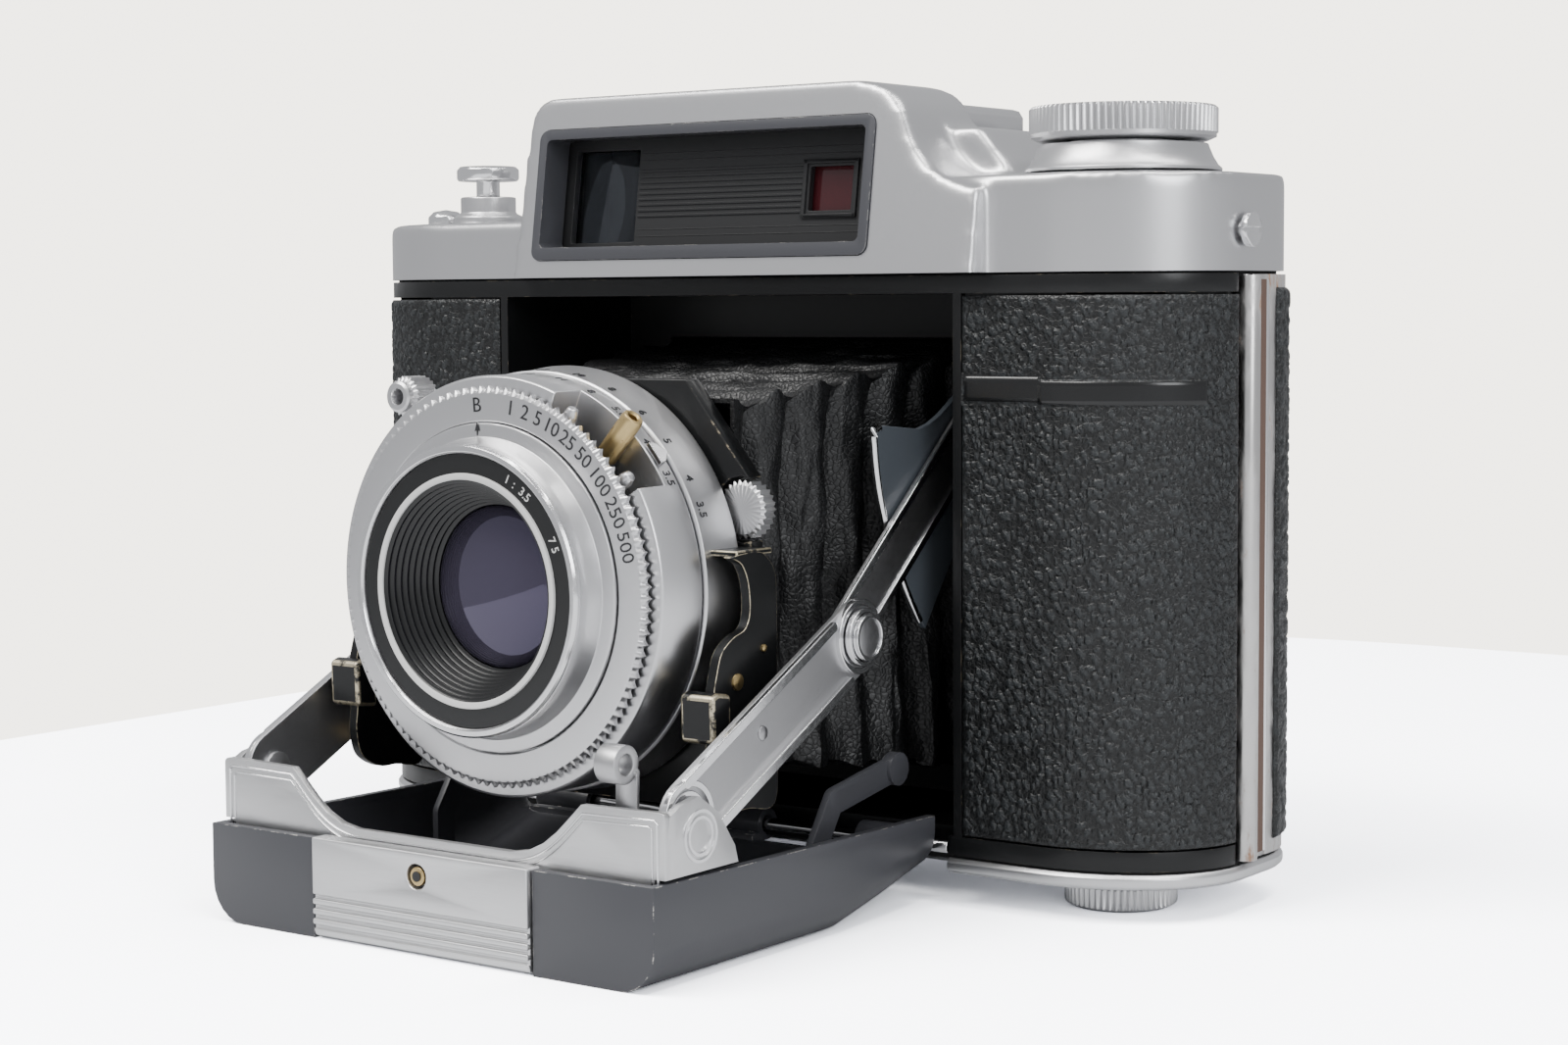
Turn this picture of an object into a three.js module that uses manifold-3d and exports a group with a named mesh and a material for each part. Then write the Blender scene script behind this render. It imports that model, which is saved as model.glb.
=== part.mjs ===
// Folding medium-format camera, opened for use. Millimetres, +Z up, +X to the camera's right as
// seen from the front, lens facing -Y. Origin: centre of the bottom plate's lower face.
import * as THREE from "three";
import { mergeVertices } from "three/addons/utils/BufferGeometryUtils.js";
import Module from "manifold-3d";

// ---------------------------------------------------------------- driving dimensions
const GAP = 0.3; // clearance between pieces that touch
const WALL = 1.4; // sheet metal and casting walls

const BODY = { half: 67.6, front: -16, rear: 19, bottom: 1.9, top: 74, flatHalf: 48 };
const OPENING = { half: 36.1, bottom: 4.6, top: 71.5, back: 11 };
const DOOR = { start: 6, seam: 13, hinge: [67.4, 1.2], barrel: 1.5 };
const COVER = { right: 86, left: 82, top: 97.6, lean: 0.144 };
const WINDOW = { left: -29, right: 25.9, bottom: 76, top: 94, border: 1.6 };
const HOUSING = { rearTop: 92, rearRight: 41.5 };
const FINDER = { left: -26.2, right: -15.3, bottom: 78.6, top: 90.9 };
const RANGE = { left: 12.8, right: 19.4, bottom: 82.1, top: 87.7 };
const WINDER = { x: 52, y: -2, radius: 11.5, top: 94 };
const BUTTON = { x: -53.5, y: 0, top: 90.3 };
const LENS = { z: 37.3, front: -65, rim: 17, plateBack: -41.8 };
const BED = { half: 34.4, front: -73, hinge: [-15, 3], block: 16.8 };
const STRUT = { front: [-64.6, 13.8], middle: [-31.4, 30.8], rear: [2, 59], lane: 31.8 };
const LANE = { inner: [29.2, 30.1], outer: [30.4, 31.3] }; // x ranges of the thin side links
const SHOE_X = 17.5; // middle of the accessory shoe
const GATE = 27.4; // half side of the 6 x 6 film gate

// ---------------------------------------------------------------- materials
const finish = (color, roughness, metalness) =>
  new THREE.MeshStandardMaterial({ color, roughness, metalness });
const chrome = finish(0xb4b6ba, 0.36, 1);
const aluminium = finish(0xc6c7c8, 0.42, 1);
const polished = finish(0xd6d7d9, 0.16, 1);
const enamel = finish(0x2b2e33, 0.34, 0.2);
const black = finish(0x0e0f11, 0.45, 0.1);
const leatherette = finish(0x101512, 0.62, 0);
const bellowsCloth = finish(0x0c0d0e, 0.5, 0);
const brass = finish(0xa08548, 0.35, 1);
const clearGlass = finish(0x6f6a86, 0.05, 0.1);
const redGlass = finish(0x4a0f12, 0.08, 0.1);

// ---------------------------------------------------------------- solids
const wasm = await Module();
wasm.setup();
const camera = new THREE.Group();
camera.name = "folding_camera";

// A closed geometry as a manifold solid, turned so that its faces point outwards.
function solid(geometry) {
  const bare = geometry.clone();
  bare.deleteAttribute("normal");
  bare.deleteAttribute("uv");
  const merged = mergeVertices(bare, 1e-4);
  const triVerts = new Uint32Array(merged.index.array);
  const vertProperties = new Float32Array(merged.attributes.position.array);
  const made = new wasm.Manifold(new wasm.Mesh({ numProp: 3, vertProperties, triVerts }));
  if (made.volume() > 0) return made;
  for (let i = 0; i < triVerts.length; i += 3) {
    [triVerts[i + 1], triVerts[i + 2]] = [triVerts[i + 2], triVerts[i + 1]];
  }
  return new wasm.Manifold(new wasm.Mesh({ numProp: 3, vertProperties, triVerts }));
}

const join = (...parts) => parts.reduce((a, b) => a.add(b));
const cut = (body, ...tools) => tools.reduce((a, b) => a.subtract(b), body);

function geometryOf(manifold) {
  const mesh = manifold.getMesh();
  return new THREE.BufferGeometry()
    .setAttribute("position", new THREE.BufferAttribute(mesh.vertProperties, 3))
    .setIndex(new THREE.BufferAttribute(mesh.triVerts, 1));
}

// Adds a named sub-part, flat shaded so that edges stay crisp.
function part(name, manifold, material) {
  const geometry = geometryOf(manifold).toNonIndexed();
  geometry.computeVertexNormals();
  const mesh = new THREE.Mesh(geometry, material);
  mesh.name = name;
  camera.add(mesh);
}

const place = (manifold, x, y, z) => manifold.translate([x, y, z]);

// Box between two corners.
function block(x0, x1, y0, y1, z0, z1) {
  const box = new THREE.BoxGeometry(x1 - x0, y1 - y0, z1 - z0);
  box.translate((x0 + x1) / 2, (y0 + y1) / 2, (z0 + z1) / 2);
  return solid(box);
}

// Outline in the plane across one axis, extruded from one place to another along it.
const ACROSS = {
  x: new THREE.Matrix4().makeBasis(
    new THREE.Vector3(0, 1, 0), new THREE.Vector3(0, 0, 1), new THREE.Vector3(1, 0, 0)),
  y: new THREE.Matrix4().makeBasis(
    new THREE.Vector3(1, 0, 0), new THREE.Vector3(0, 0, 1), new THREE.Vector3(0, -1, 0)),
  z: new THREE.Matrix4(),
};
function slab(axis, outline, from, to, { round = 0, steps = 1, curveSegments = 5 } = {}) {
  const points = (list) => list.map(([u, v]) => new THREE.Vector2(u, v));
  const shape = outline instanceof THREE.Shape ? outline : new THREE.Shape(points(outline));
  const geometry = new THREE.ExtrudeGeometry(shape, {
    depth: to - from - 2 * round,
    curveSegments,
    bevelEnabled: round > 0,
    bevelThickness: round,
    bevelSize: round,
    bevelOffset: -round,
    bevelSegments: steps,
  });
  geometry.translate(0, 0, axis === "y" ? round - to : from + round);
  return solid(geometry.applyMatrix4(ACROSS[axis]));
}

// Profile of [radius, distance] points turned about an axis through a place.
function turned(axis, profile, centre, segments = 32) {
  const points = profile.map(([r, d]) => new THREE.Vector2(r, d));
  const geometry = new THREE.LatheGeometry(points, segments);
  if (axis === "z") geometry.rotateX(Math.PI / 2);
  if (axis === "x") geometry.rotateZ(-Math.PI / 2);
  return place(solid(geometry), ...centre);
}

const disc = (axis, radius, from, to, centre, segments = 24) =>
  turned(axis, [[0, from], [radius, from], [radius, to], [0, to]], centre, segments);
const ring = (axis, inner, outer, from, to, centre, segments = 32) =>
  turned(axis, [[inner, from], [outer, from], [outer, to], [inner, to], [inner, from]], centre, segments);

// Shallow teeth round a knob's rim: an outline for slab().
function knurled(radius, depth, teeth, u = 0, v = 0) {
  const points = [];
  for (let i = 0; i < 2 * teeth; i++) {
    const r = i % 2 ? radius - depth : radius;
    const a = (i * Math.PI) / teeth;
    points.push([u + r * Math.cos(a), v + r * Math.sin(a)]);
  }
  return points;
}

// Round-ended link between two points of a plane.
function link(a, b, radius) {
  const angle = Math.atan2(b[1] - a[1], b[0] - a[0]);
  const shape = new THREE.Shape();
  shape.absarc(a[0], a[1], radius, angle + Math.PI / 2, angle + 1.5 * Math.PI, false);
  shape.absarc(b[0], b[1], radius, angle - Math.PI / 2, angle + Math.PI / 2, false);
  return shape;
}

// Rectangle with rounded corners.
function panel(u0, u1, v0, v1, radius) {
  const shape = new THREE.Shape();
  shape.absarc(u1 - radius, v1 - radius, radius, 0, Math.PI / 2, false);
  shape.absarc(u0 + radius, v1 - radius, radius, Math.PI / 2, Math.PI, false);
  shape.absarc(u0 + radius, v0 + radius, radius, Math.PI, 1.5 * Math.PI, false);
  shape.absarc(u1 - radius, v0 + radius, radius, -Math.PI / 2, 0, false);
  return shape;
}

// The body seen from above: flat front, elliptical front corners, round rear corners.
function bodyOutline(inset = 0) {
  const half = BODY.half - inset;
  const corner = 11 - inset;
  const shape = new THREE.Shape();
  shape.moveTo(-BODY.flatHalf, BODY.front + inset);
  shape.lineTo(BODY.flatHalf, BODY.front + inset);
  shape.absellipse(BODY.flatHalf, 0, half - BODY.flatHalf, -BODY.front - inset, -Math.PI / 2, 0, false, 0);
  shape.absarc(half - corner, BODY.rear - inset - corner, corner, 0, Math.PI / 2, false);
  shape.absarc(corner - half, BODY.rear - inset - corner, corner, Math.PI / 2, Math.PI, false);
  shape.absellipse(
    -BODY.flatHalf, 0, half - BODY.flatHalf, -BODY.front - inset, Math.PI, 1.5 * Math.PI, false, 0);
  return shape;
}
const bodySlab = (inset, z0, z1, options) => slab("z", bodyOutline(inset), z0, z1, options);

// ---------------------------------------------------------------- body casting and its covers
const SIDES = [["right", 1], ["left", -1]];
const mirrored = (manifold, side) => (side > 0 ? manifold : manifold.mirror([1, 0, 0]));
const sidePart = (name, side, manifold, material) => part(name, mirrored(manifold, side), material);
const hingeNotch = block(-35.4, 35.4, -20, BED.hinge[0] + 5, -1, 8); // room for the bed's knuckles

const bedRecess = block(-OPENING.half, OPENING.half, -20, OPENING.back, OPENING.bottom, OPENING.top);
const filmGate = block(-GATE, GATE, 0, 20, LENS.z - GATE, LENS.z + GATE);
const spoolRoom = (x) => {
  const round = disc("z", 12.6, 3.4, 72.4, [x, WINDER.y, 0]);
  const outlet = block(x - 12.6, x + 12.6, WINDER.y, 20, 3.4, 72.4);
  return join(round, outlet);
};
const doorRoom = join(
  block(-80, -BODY.half + 3.8, DOOR.start - 2, 30, 0, 80),
  block(BODY.half - 3.8, 80, DOOR.start - 2, 30, 0, 80),
  block(BODY.half - 1.6, 80, 0, 30, 0, 80),
  block(-80, 80, DOOR.seam, 30, 0, 80),
);
const casting = join(
  bodySlab(1.2, BODY.bottom + GAP, BODY.top - GAP),
  bodySlab(0.2, BODY.bottom + GAP, OPENING.bottom),
  bodySlab(0.2, OPENING.top, BODY.top - GAP),
  block(-OPENING.half - 1.2, OPENING.half + 1.2, BODY.front + 0.2, 0, 3, 73),
);
const spindleHoles = [1, -1].map((side) => disc("z", 3.4, -5, 100, [side * WINDER.x, WINDER.y, 0], 16));
const hingeChannel = disc("z", 2.4, 0, 80, [...DOOR.hinge, 0], 14);
const strutPin = join(
  disc("x", 1.5, 29, OPENING.half + 1, [0, ...STRUT.rear], 12),
  disc("x", 3, 31.7, OPENING.half + 1, [0, ...STRUT.rear], 14));
part("body_casting", join(cut(
  casting, bedRecess, hingeNotch, filmGate, spoolRoom(WINDER.x), spoolRoom(-WINDER.x), doorRoom,
  ...spindleHoles, hingeChannel,
), strutPin, mirrored(strutPin, -1)), black);

for (const [name, side] of SIDES) {
  const sheet = cut(
    bodySlab(0, 4.9, 71.2, { curveSegments: 8 }), bodySlab(0.9, 0, 80, { curveSegments: 8 }));
  const window = block(OPENING.half + 1.5, 80, -20, -0.9, 0, 80);
  sidePart(`front_leather_${name}`, side, sheet.intersect(window), leatherette);
}

const TRIPOD = [-22, 4, 0];
const tripodThread = ring("z", 3.2, 6.5, 0.2, BODY.bottom, TRIPOD, 20);
part("bottom_plate", cut(
  bodySlab(-0.3, 0, BODY.bottom, { round: 0.5 }), hingeNotch, ...spindleHoles,
  disc("z", 6.8, -1, 5, TRIPOD, 20),
), chrome);
part("tripod_bush", tripodThread, brass);

// ---------------------------------------------------------------- top cover
// Housing seen from the front: upright left side, an S-shaped fall to the right ledge.
function housing(inset, z0, shoulder) {
  const top = COVER.top - inset;
  const shape = new THREE.Shape();
  shape.moveTo(-32 + inset, z0);
  shape.lineTo(shoulder + 15 - inset, z0);
  shape.lineTo(shoulder + 15 - inset, COVER.right - 2);
  shape.bezierCurveTo(shoulder + 8, COVER.right - 1, shoulder + 4.5 - inset, COVER.right + 2,
    shoulder + 3 - inset, COVER.right + 5);
  shape.bezierCurveTo(shoulder + 1.5 - inset, top - 3, shoulder - inset, top, shoulder - 6, top);
  shape.lineTo(-26, top);
  shape.quadraticCurveTo(-30 + inset, top, -30.4 + inset, top - 4);
  return shape;
}
// Leaning front, as the housing narrows upwards.
function leaning(manifold) {
  const warp = (v) => { v[1] += (v[2] - BODY.top) * COVER.lean; };
  return manifold.warp(warp);
}
const HOUSING_FRONT = -19.2;
const frontHousing = (inset, z0) =>
  leaning(slab("y", housing(inset, z0, 26), HOUSING_FRONT + inset, -3 - inset, { round: 1.2 - inset / 2 }));
const rearHousing = (inset, z0) => slab("y", [
  [-30 + inset, z0], [HOUSING.rearRight - inset, z0], [HOUSING.rearRight - inset, COVER.right - 2],
  [HOUSING.rearRight - 7 - inset, HOUSING.rearTop - inset], [-27 + inset, HOUSING.rearTop - inset],
  [-30 + inset, 88],
], inset - 8, 16 - inset, { round: 1 });
const ledge = (x0, x1, top, inset) => {
  const whole = bodySlab(-0.2 + inset, BODY.top - inset, top - inset, { round: 1.6, curveSegments: 7 });
  return whole.intersect(block(x0, x1, -30, 30, 60, 100));
};
const coverOuter = join(
  ledge(-80, -12, COVER.left, 0), ledge(-12.1, 80, COVER.right, 0),
  block(-30, 30, -14, 16, BODY.top, COVER.left - 1),
  frontHousing(0, BODY.top), rearHousing(0, BODY.top),
).intersect(block(-80, 80, -40, 40, BODY.top, 120));
const coverInner = join(
  ledge(-80, -12, COVER.left, WALL), ledge(-12.1, 80, COVER.right, WALL),
  frontHousing(WALL, BODY.top - 3), rearHousing(WALL, BODY.top - 3),
  cut(bodySlab(WALL, BODY.top - 3, 78), block(-80, 80, -30, 30, 77, 80)),
);
const windowOpening = slab("y", panel(WINDOW.left, WINDOW.right, WINDOW.bottom, WINDOW.top, 1.6), -30, -10);
const eyepieceHole = disc("y", 3.7, 10, 30, [-21, 0, 86.8], 16);
const winderHole = disc("z", 8.6, 70, 100, [WINDER.x, WINDER.y, 0], 24);
const buttonHole = disc("z", 3.6, 70, 100, [BUTTON.x, BUTTON.y, 0], 16);
const bumpHole = disc("z", 1.1, 70, 100, [-61.8, 0, 0], 12);
const screwHole = (side) => disc("x", 1.2, 60, 75, [0, 0, 78.9], 16);
part("top_cover", cut(
  coverOuter, coverInner, windowOpening, eyepieceHole, winderHole, buttonHole, bumpHole,
  screwHole(1), screwHole(-1).mirror([1, 0, 0]),
), chrome);
for (const [name, side] of SIDES) {
  const screw = join(
    disc("x", 2.1, 67.9, 68.7, [0, 0, 78.9], 20), disc("x", 0.9, 63.5, 68.2, [0, 0, 78.9], 16));
  const slot = block(68.35, 69, -3, 3, 78.6, 79.2);
  sidePart(`cover_screw_${name}`, side, cut(screw, slot), polished);
}

// Window group: bezel, sunk black panel, two windows.
const bezelInner = panel(
  WINDOW.left + WINDOW.border, WINDOW.right - WINDOW.border,
  WINDOW.bottom + 2, WINDOW.top - WINDOW.border, 0.8);
const bezelOuter = panel(
  WINDOW.left + GAP, WINDOW.right - GAP, WINDOW.bottom + GAP, WINDOW.top - GAP, 1.4);
part("window_bezel", leaning(cut(
  slab("y", bezelOuter, HOUSING_FRONT - 0.5, -15), slab("y", bezelInner, -30, -10),
)), enamel);
const pane = ({ left, right, bottom, top }, grow, y0, y1) =>
  block(left - grow, right + grow, y0, y1, bottom - grow, top + grow);
const PANEL_Y = -13.6;
part("window_panel", cut(
  leaning(slab("y", bezelOuter, -14.6, PANEL_Y)),
  leaning(pane(FINDER, 0, -20, -5)), leaning(pane(RANGE, 0, -20, -5)),
), black);
part("viewfinder_window", leaning(pane(FINDER, 0.6, PANEL_Y + GAP, PANEL_Y + 1.4)), clearGlass);
part("rangefinder_window", leaning(pane(RANGE, 0.6, PANEL_Y + GAP, PANEL_Y + 1.4)), redGlass);
part("viewfinder_eyepiece", turned("y", [
  [2.1, 12.5], [3.4, 12.5], [3.4, 16.3], [4.5, 16.3], [4.5, 17.6], [3.8, 18.2], [2.4, 17.2], [2.1, 12.5],
], [-21, 0, 86.8], 20), black);

// Accessory shoe: a plate with two rails curled inwards.
const rail = (side) => mirrored(slab("y", [
  [8.6, 0], [10, 0], [10, 2.2], [9.4, 3.1], [8.4, 3.4], [6.6, 3.4], [6.6, 2.5], [8.6, 2.3],
], 1, 15), side);
const shoe = join(block(-9.4, 9.4, 1, 15, 0, 1), rail(1), rail(-1));
part("accessory_shoe", place(shoe, SHOE_X, 0, HOUSING.rearTop + GAP), chrome);

// ---------------------------------------------------------------- winding, film spools, release
const winderAt = (side) => [side * WINDER.x, WINDER.y, 0];
const knobTop = slab("z", knurled(WINDER.radius, 0.4, 32, WINDER.x, WINDER.y), 90.6, WINDER.top);
const knobFoot = turned("z", [
  [0, 86.6], [6.6, 86.6], [6.6, 89.6], [10.2, 89.8], [11, 90.2], [11, 90.8], [0, 90.8],
], winderAt(1));
const knobDish = disc("z", 9.4, 93.5, 95, winderAt(1), 28);
const spindle = disc("z", 2.2, 72.6, 86.8, winderAt(1), 12);
part("winding_knob", join(cut(knobTop, knobDish), knobFoot, spindle), chrome);
part("knob_collar", turned("z", [
  [7.4, 84], [8.3, 84], [8.3, 86.3], [11.8, 86.3], [11.4, 87], [10.2, 89.4], [7.6, 89.4], [7.4, 84],
], winderAt(1)), chrome);

const spool = (side) => turned("z", [
  [0, 5], [11.8, 5], [11.8, 6], [4, 6.4], [4, 69.4], [11.8, 69.8], [11.8, 70.8], [0, 70.8],
], winderAt(side), 24);
const footKnob = (side) => join(
  slab("z", knurled(7, 0.35, 20, side * WINDER.x, WINDER.y), -4.2, -0.5),
  disc("z", 2.4, -0.8, 4.7, winderAt(side), 14));
part("takeup_spool", spool(1), black);
part("supply_spool", spool(-1), black);
part("foot_knob_right", footKnob(1), chrome);
part("foot_knob_left", footKnob(-1), chrome);

const buttonAt = [BUTTON.x, BUTTON.y, 0];
part("button_collar", turned("z", [
  [2.7, 79], [3.3, 79], [3.3, 82], [5.2, 82], [5.2, 83], [4, 83.6], [4, 85.9], [2.7, 85.9], [2.7, 79],
], buttonAt, 20), chrome);
part("shutter_button", turned("z", [
  [0, 79], [1.7, 79], [1.7, 88.2], [4.3, 88.2], [4.5, 88.6], [4.5, 89.8], [4, BUTTON.top],
  [1.6, BUTTON.top - 0.3], [0, BUTTON.top - 1.2],
], buttonAt, 20), chrome);
part("double_exposure_stud", turned("z", [
  [0, 80], [0.8, 80], [0.8, 82], [2.6, 82], [2.6, 83.2], [1.8, 84], [0, 84.3],
], [-61.8, 0, 0], 16), chrome);

// ---------------------------------------------------------------- back door
const doorShell = cut(
  bodySlab(-0.1, 2.3, 73.6, { curveSegments: 7 }),
  bodySlab(WALL, 0, 80, { curveSegments: 7 }),
  block(-80, 80, -30, DOOR.start, 0, 80),
);
const hingeLeaf = join(
  disc("z", DOOR.barrel, 2.4, 73.5, [...DOOR.hinge, 0], 16),
  block(BODY.half - 1.2, BODY.half, DOOR.hinge[1], DOOR.start + 1, 2.3, 73.6),
);
const lightTrap = cut(
  block(-62, 62, 17, 17.9, 4, 72), block(-60.6, 60.6, 0, 30, 5.4, 70.6));
const redPort = disc("y", 4.2, 0, 30, [-14, 0, 22], 20);
const latchSlot = block(-80, -60, 7.4, 10.6, 41.5, 50.5);
part("back_door", cut(
  join(doorShell, hingeLeaf, lightTrap), disc("z", 0.85, 0, 80, [...DOOR.hinge, 0], 12), redPort, latchSlot,
), chrome);
part("door_hinge_pin", disc("z", 0.6, 2.5, 73.4, [...DOOR.hinge, 0], 12), polished);
const doorLeather = cut(
  bodySlab(-0.9, 4, 72, { curveSegments: 7 }), bodySlab(-0.35, 0, 80, { curveSegments: 7 }),
  block(-80, 80, -30, 6.6, 0, 80), disc("y", 7.2, 0, 30, [-14, 0, 22], 20),
  block(-80, -60, 5, 12.4, 36, 56),
);
part("door_leather", doorLeather, leatherette);
part("pressure_plate", slab("y", panel(-31, 31, 7, 67.6, 2), 14.1, 15), black);
part("red_window", disc("y", 3.9, 17.8, 18.7, [-14, 0, 22], 20), redGlass);
part("red_window_cover", join(
  disc("y", 5.6, 20.2, 21, [-14, 0, 22]), disc("y", 1.2, 20.9, 21.6, [-14, 0, 25], 12),
), polished);
part("door_latch", join(
  block(-69.4, -68.1, 7, 11, 41, 51), block(-68.2, -64.6, 7.8, 10.2, 43.5, 48.5),
  ...[42.5, 44.5, 46.5, 48.5].map((z) => block(-70, -69.3, 7, 11, z, z + 1)),
), chrome);

// ---------------------------------------------------------------- drop bed
// The tray is drawn from the front and its floor rises towards the hinge.
const risen = (manifold) => manifold.warp((v) => {
  if (v[2] < 4) v[2] += 4.4 * THREE.MathUtils.smoothstep(v[1], -36, -16);
});
function tray(half, bottom, corner, y0, y1) {
  const shape = new THREE.Shape();
  shape.moveTo(-half, 14);
  shape.lineTo(-half, bottom + corner);
  shape.absarc(corner - half, bottom + corner, corner, Math.PI, 1.5 * Math.PI, false);
  shape.absarc(half - corner, bottom + corner, corner, -Math.PI / 2, 0, false);
  shape.lineTo(half, 14);
  const geometry = new THREE.ExtrudeGeometry(
    shape, { depth: y1 - y0, steps: 6, curveSegments: 3, bevelEnabled: false });
  geometry.translate(0, 0, -y1);
  return risen(solid(geometry.applyMatrix4(ACROSS.y)));
}
const BED_UNDER = -4.2;
const trayTop = slab("x", [[-80, 7.9], [-10, 7.2], [-10, 20], [-80, 20]], -40, 40);
const knuckle = (x0, x1) => cut(
  join(disc("x", 2.1, x0, x1, [0, ...BED.hinge], 20), block(x0, x1, -18.4, -15, 0.92, 2.1)),
  disc("x", 1.2, -40, 40, [0, ...BED.hinge], 16));
part("bed_tray", join(
  cut(
    tray(BED.half, BED_UNDER, 5, BED.front, -17.3),
    tray(BED.half - 1.2, -2.7, 3.8, BED.front + 1.2, -10), trayTop,
    block(-BED.block - GAP, BED.block + GAP, -80, -62, -10, 20)),
  knuckle(-31, -22), knuckle(-7, 7), knuckle(22, 31),
), enamel);
part("bed_hinge_pin", disc("x", 0.85, -35.1, 35.1, [0, ...BED.hinge], 16), polished);
const blockProfile = [
  [-73.6, 8], [-73.6, -2.6], [-73.2, -3.7], [-72.2, BED_UNDER], [-62.3, BED_UNDER],
  [-62.3, -2.9], [-71.2, -2.9], [-71.2, 8],
];
const grooves = [0.7, -0.5, -1.7, -2.9].map((z) => block(-20, 20, -74, -73.2, z, z + 0.5));
const LOCK = [0, 0, 5.2];
part("bed_block", cut(
  slab("x", blockProfile, -BED.block, BED.block), ...grooves, disc("y", 1.5, -80, -60, LOCK, 20),
), aluminium);
part("lock_pin", disc("y", 1.1, -73.4, -72, LOCK, 20), brass);

// Crosspiece behind the bed's front edge, with an outer flange over each strut's end.
function crosspieceOutline() {
  const shape = new THREE.Shape();
  shape.moveTo(-28.6, -2.2);
  shape.lineTo(28.6, -2.2);
  shape.lineTo(32.8, 1.8);
  shape.lineTo(32.8, 8.2);
  shape.lineTo(34.3, 8.2);
  shape.lineTo(34.3, 15);
  shape.quadraticCurveTo(34.2, 15.6, 33.4, 15.6);
  shape.lineTo(22.5, 15.4);
  shape.bezierCurveTo(19.5, 12.6, 17, 9.2, 12, 9);
  shape.lineTo(-12, 9);
  shape.bezierCurveTo(-17, 9.2, -19.5, 12.6, -22.5, 15.4);
  shape.lineTo(-33.4, 15.6);
  shape.quadraticCurveTo(-34.2, 15.6, -34.3, 15);
  shape.lineTo(-34.3, 8.2);
  shape.lineTo(-32.8, 8.2);
  shape.lineTo(-32.8, 1.8);
  return shape;
}
const flangeOutline = [
  [-70.4, 8.2], [-57.6, 8.2], [-58.2, 10.2], [-61.2, 14.4], [-64.6, 16.6], [-68, 16], [-70.4, 14.8]];
const flange = join(
  slab("x", flangeOutline, 33.3, 34.3), disc("x", 1.9, 31.4, 33.6, [0, ...STRUT.front], 14));
part("bed_crosspiece", join(
  slab("y", crosspieceOutline(), -70.8, -69.8), flange, mirrored(flange, -1),
  block(-28, 28, -70, -66.5, -2.2, -1.2)), aluminium);
const strip = slab("x", [[-69.5, -0.9], [-68.9, -0.9], [-68.3, 19.6], [-68.9, 19.8]], 26, 28.9);
part("hook_spring", join(
  strip, block(26, 28.9, -69.3, -66.8, -0.9, -0.3),
  ring("x", 1.2, 2.2, 26, 28.9, [0, -70.6, 20.4], 24)), chrome);
for (const [name, side] of SIDES) {
  const lever = join(
    slab("x", link([-37, 4.2], [-32.5, 10.8], 1.6), ...LANE.inner),
    slab("x", link([-32.5, 10.8], [-19.5, 13], 1.6), ...LANE.inner),
    block(...LANE.inner, -38.6, -35.4, -1.5, 4.2),
    disc("x", 2.1, LANE.inner[0], 30.6, [0, -19.5, 13], 14));
  sidePart(`bed_lever_${name}`, side, lever, black);
}

// ---------------------------------------------------------------- folding struts
for (const [name, side] of SIDES) {
  const x = STRUT.lane;
  const arm = cut(
    slab("x", link(STRUT.front, STRUT.middle, 4.6), x, x + 1.1),
    disc("x", 2.2, 20, 40, [0, ...STRUT.front], 14));
  const boss = turned("x", [
    [0, x + 0.5], [4.3, x + 0.5], [4.3, x + 1.6], [3.5, x + 2], [2.8, x + 1.7], [2.5, x + 2.7], [0, x + 2.9],
  ], [0, ...STRUT.middle], 20);
  sidePart(`front_strut_${name}`, side, join(arm, boss), chrome);
  const rearArm = cut(
    slab("x", link(STRUT.middle, STRUT.rear, 3.6), ...LANE.outer),
    disc("x", 1.8, 20, 40, [0, ...STRUT.rear], 14));
  sidePart(`rear_strut_${name}`, side, rearArm, chrome);
  const sector = new THREE.Shape();
  sector.moveTo(-23.6, 54.2);
  sector.bezierCurveTo(-23.1, 45.9, -19.1, 37.2, -12.7, 29.7); // ends clear of the film gate when folded
  sector.lineTo(-5, 40);
  sector.lineTo(4.8, 57);
  sector.bezierCurveTo(6.4, 60.4, 3, 63.4, 0, 61.8);
  sector.bezierCurveTo(-5, 59.4, -9, 55.4, -14, 54.8);
  sidePart(`sector_plate_${name}`, side, cut(
    slab("x", sector, ...LANE.inner), disc("x", 1.8, 20, 40, [0, ...STRUT.rear], 14),
    disc("x", 0.9, 20, 40, [0, -15.6, 45.4], 14)), enamel);
}

// ---------------------------------------------------------------- lens standard
const AXIS = [0, 0, LENS.z];
const FOCUS_WHEEL = [25.2, 0, 46.5];
const polar = (radius, degrees) => {
  const a = THREE.MathUtils.degToRad(degrees);
  return [radius * Math.cos(a), 0, LENS.z + radius * Math.sin(a)];
};
const upright = [
  [-22, 10.6], [22, 10.6], [26.4, 16], [26.4, 50], [17, 61.6], [-17, 61.6], [-26.4, 50], [-26.4, 16],
];
part("standard_plate", cut(
  slab("y", upright, -44.3, LENS.plateBack), disc("y", 12.9, -60, 0, AXIS, 28),
  disc("y", 3.9, -60, 0, FOCUS_WHEEL, 16)), black);
const bracket = [
  [-44.6, 42], [-49, 42.4], [-50.4, 41], [-47.4, 37.4], [-47.8, 34], [-53, 31.6], [-54, 26.5], [-50.6, 24.6],
  [-51.4, 20], [-55, 17.2], [-54, 13.6], [-48, 12.2], [-44.6, 12.2],
];
for (const [name, side] of SIDES) {
  const cheek = join(slab("x", bracket, 27.6, 28.8), block(26.8, 28.8, -44.6, LENS.plateBack, 17, 42));
  sidePart(`standard_bracket_${name}`, side, cheek, black);
}

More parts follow.
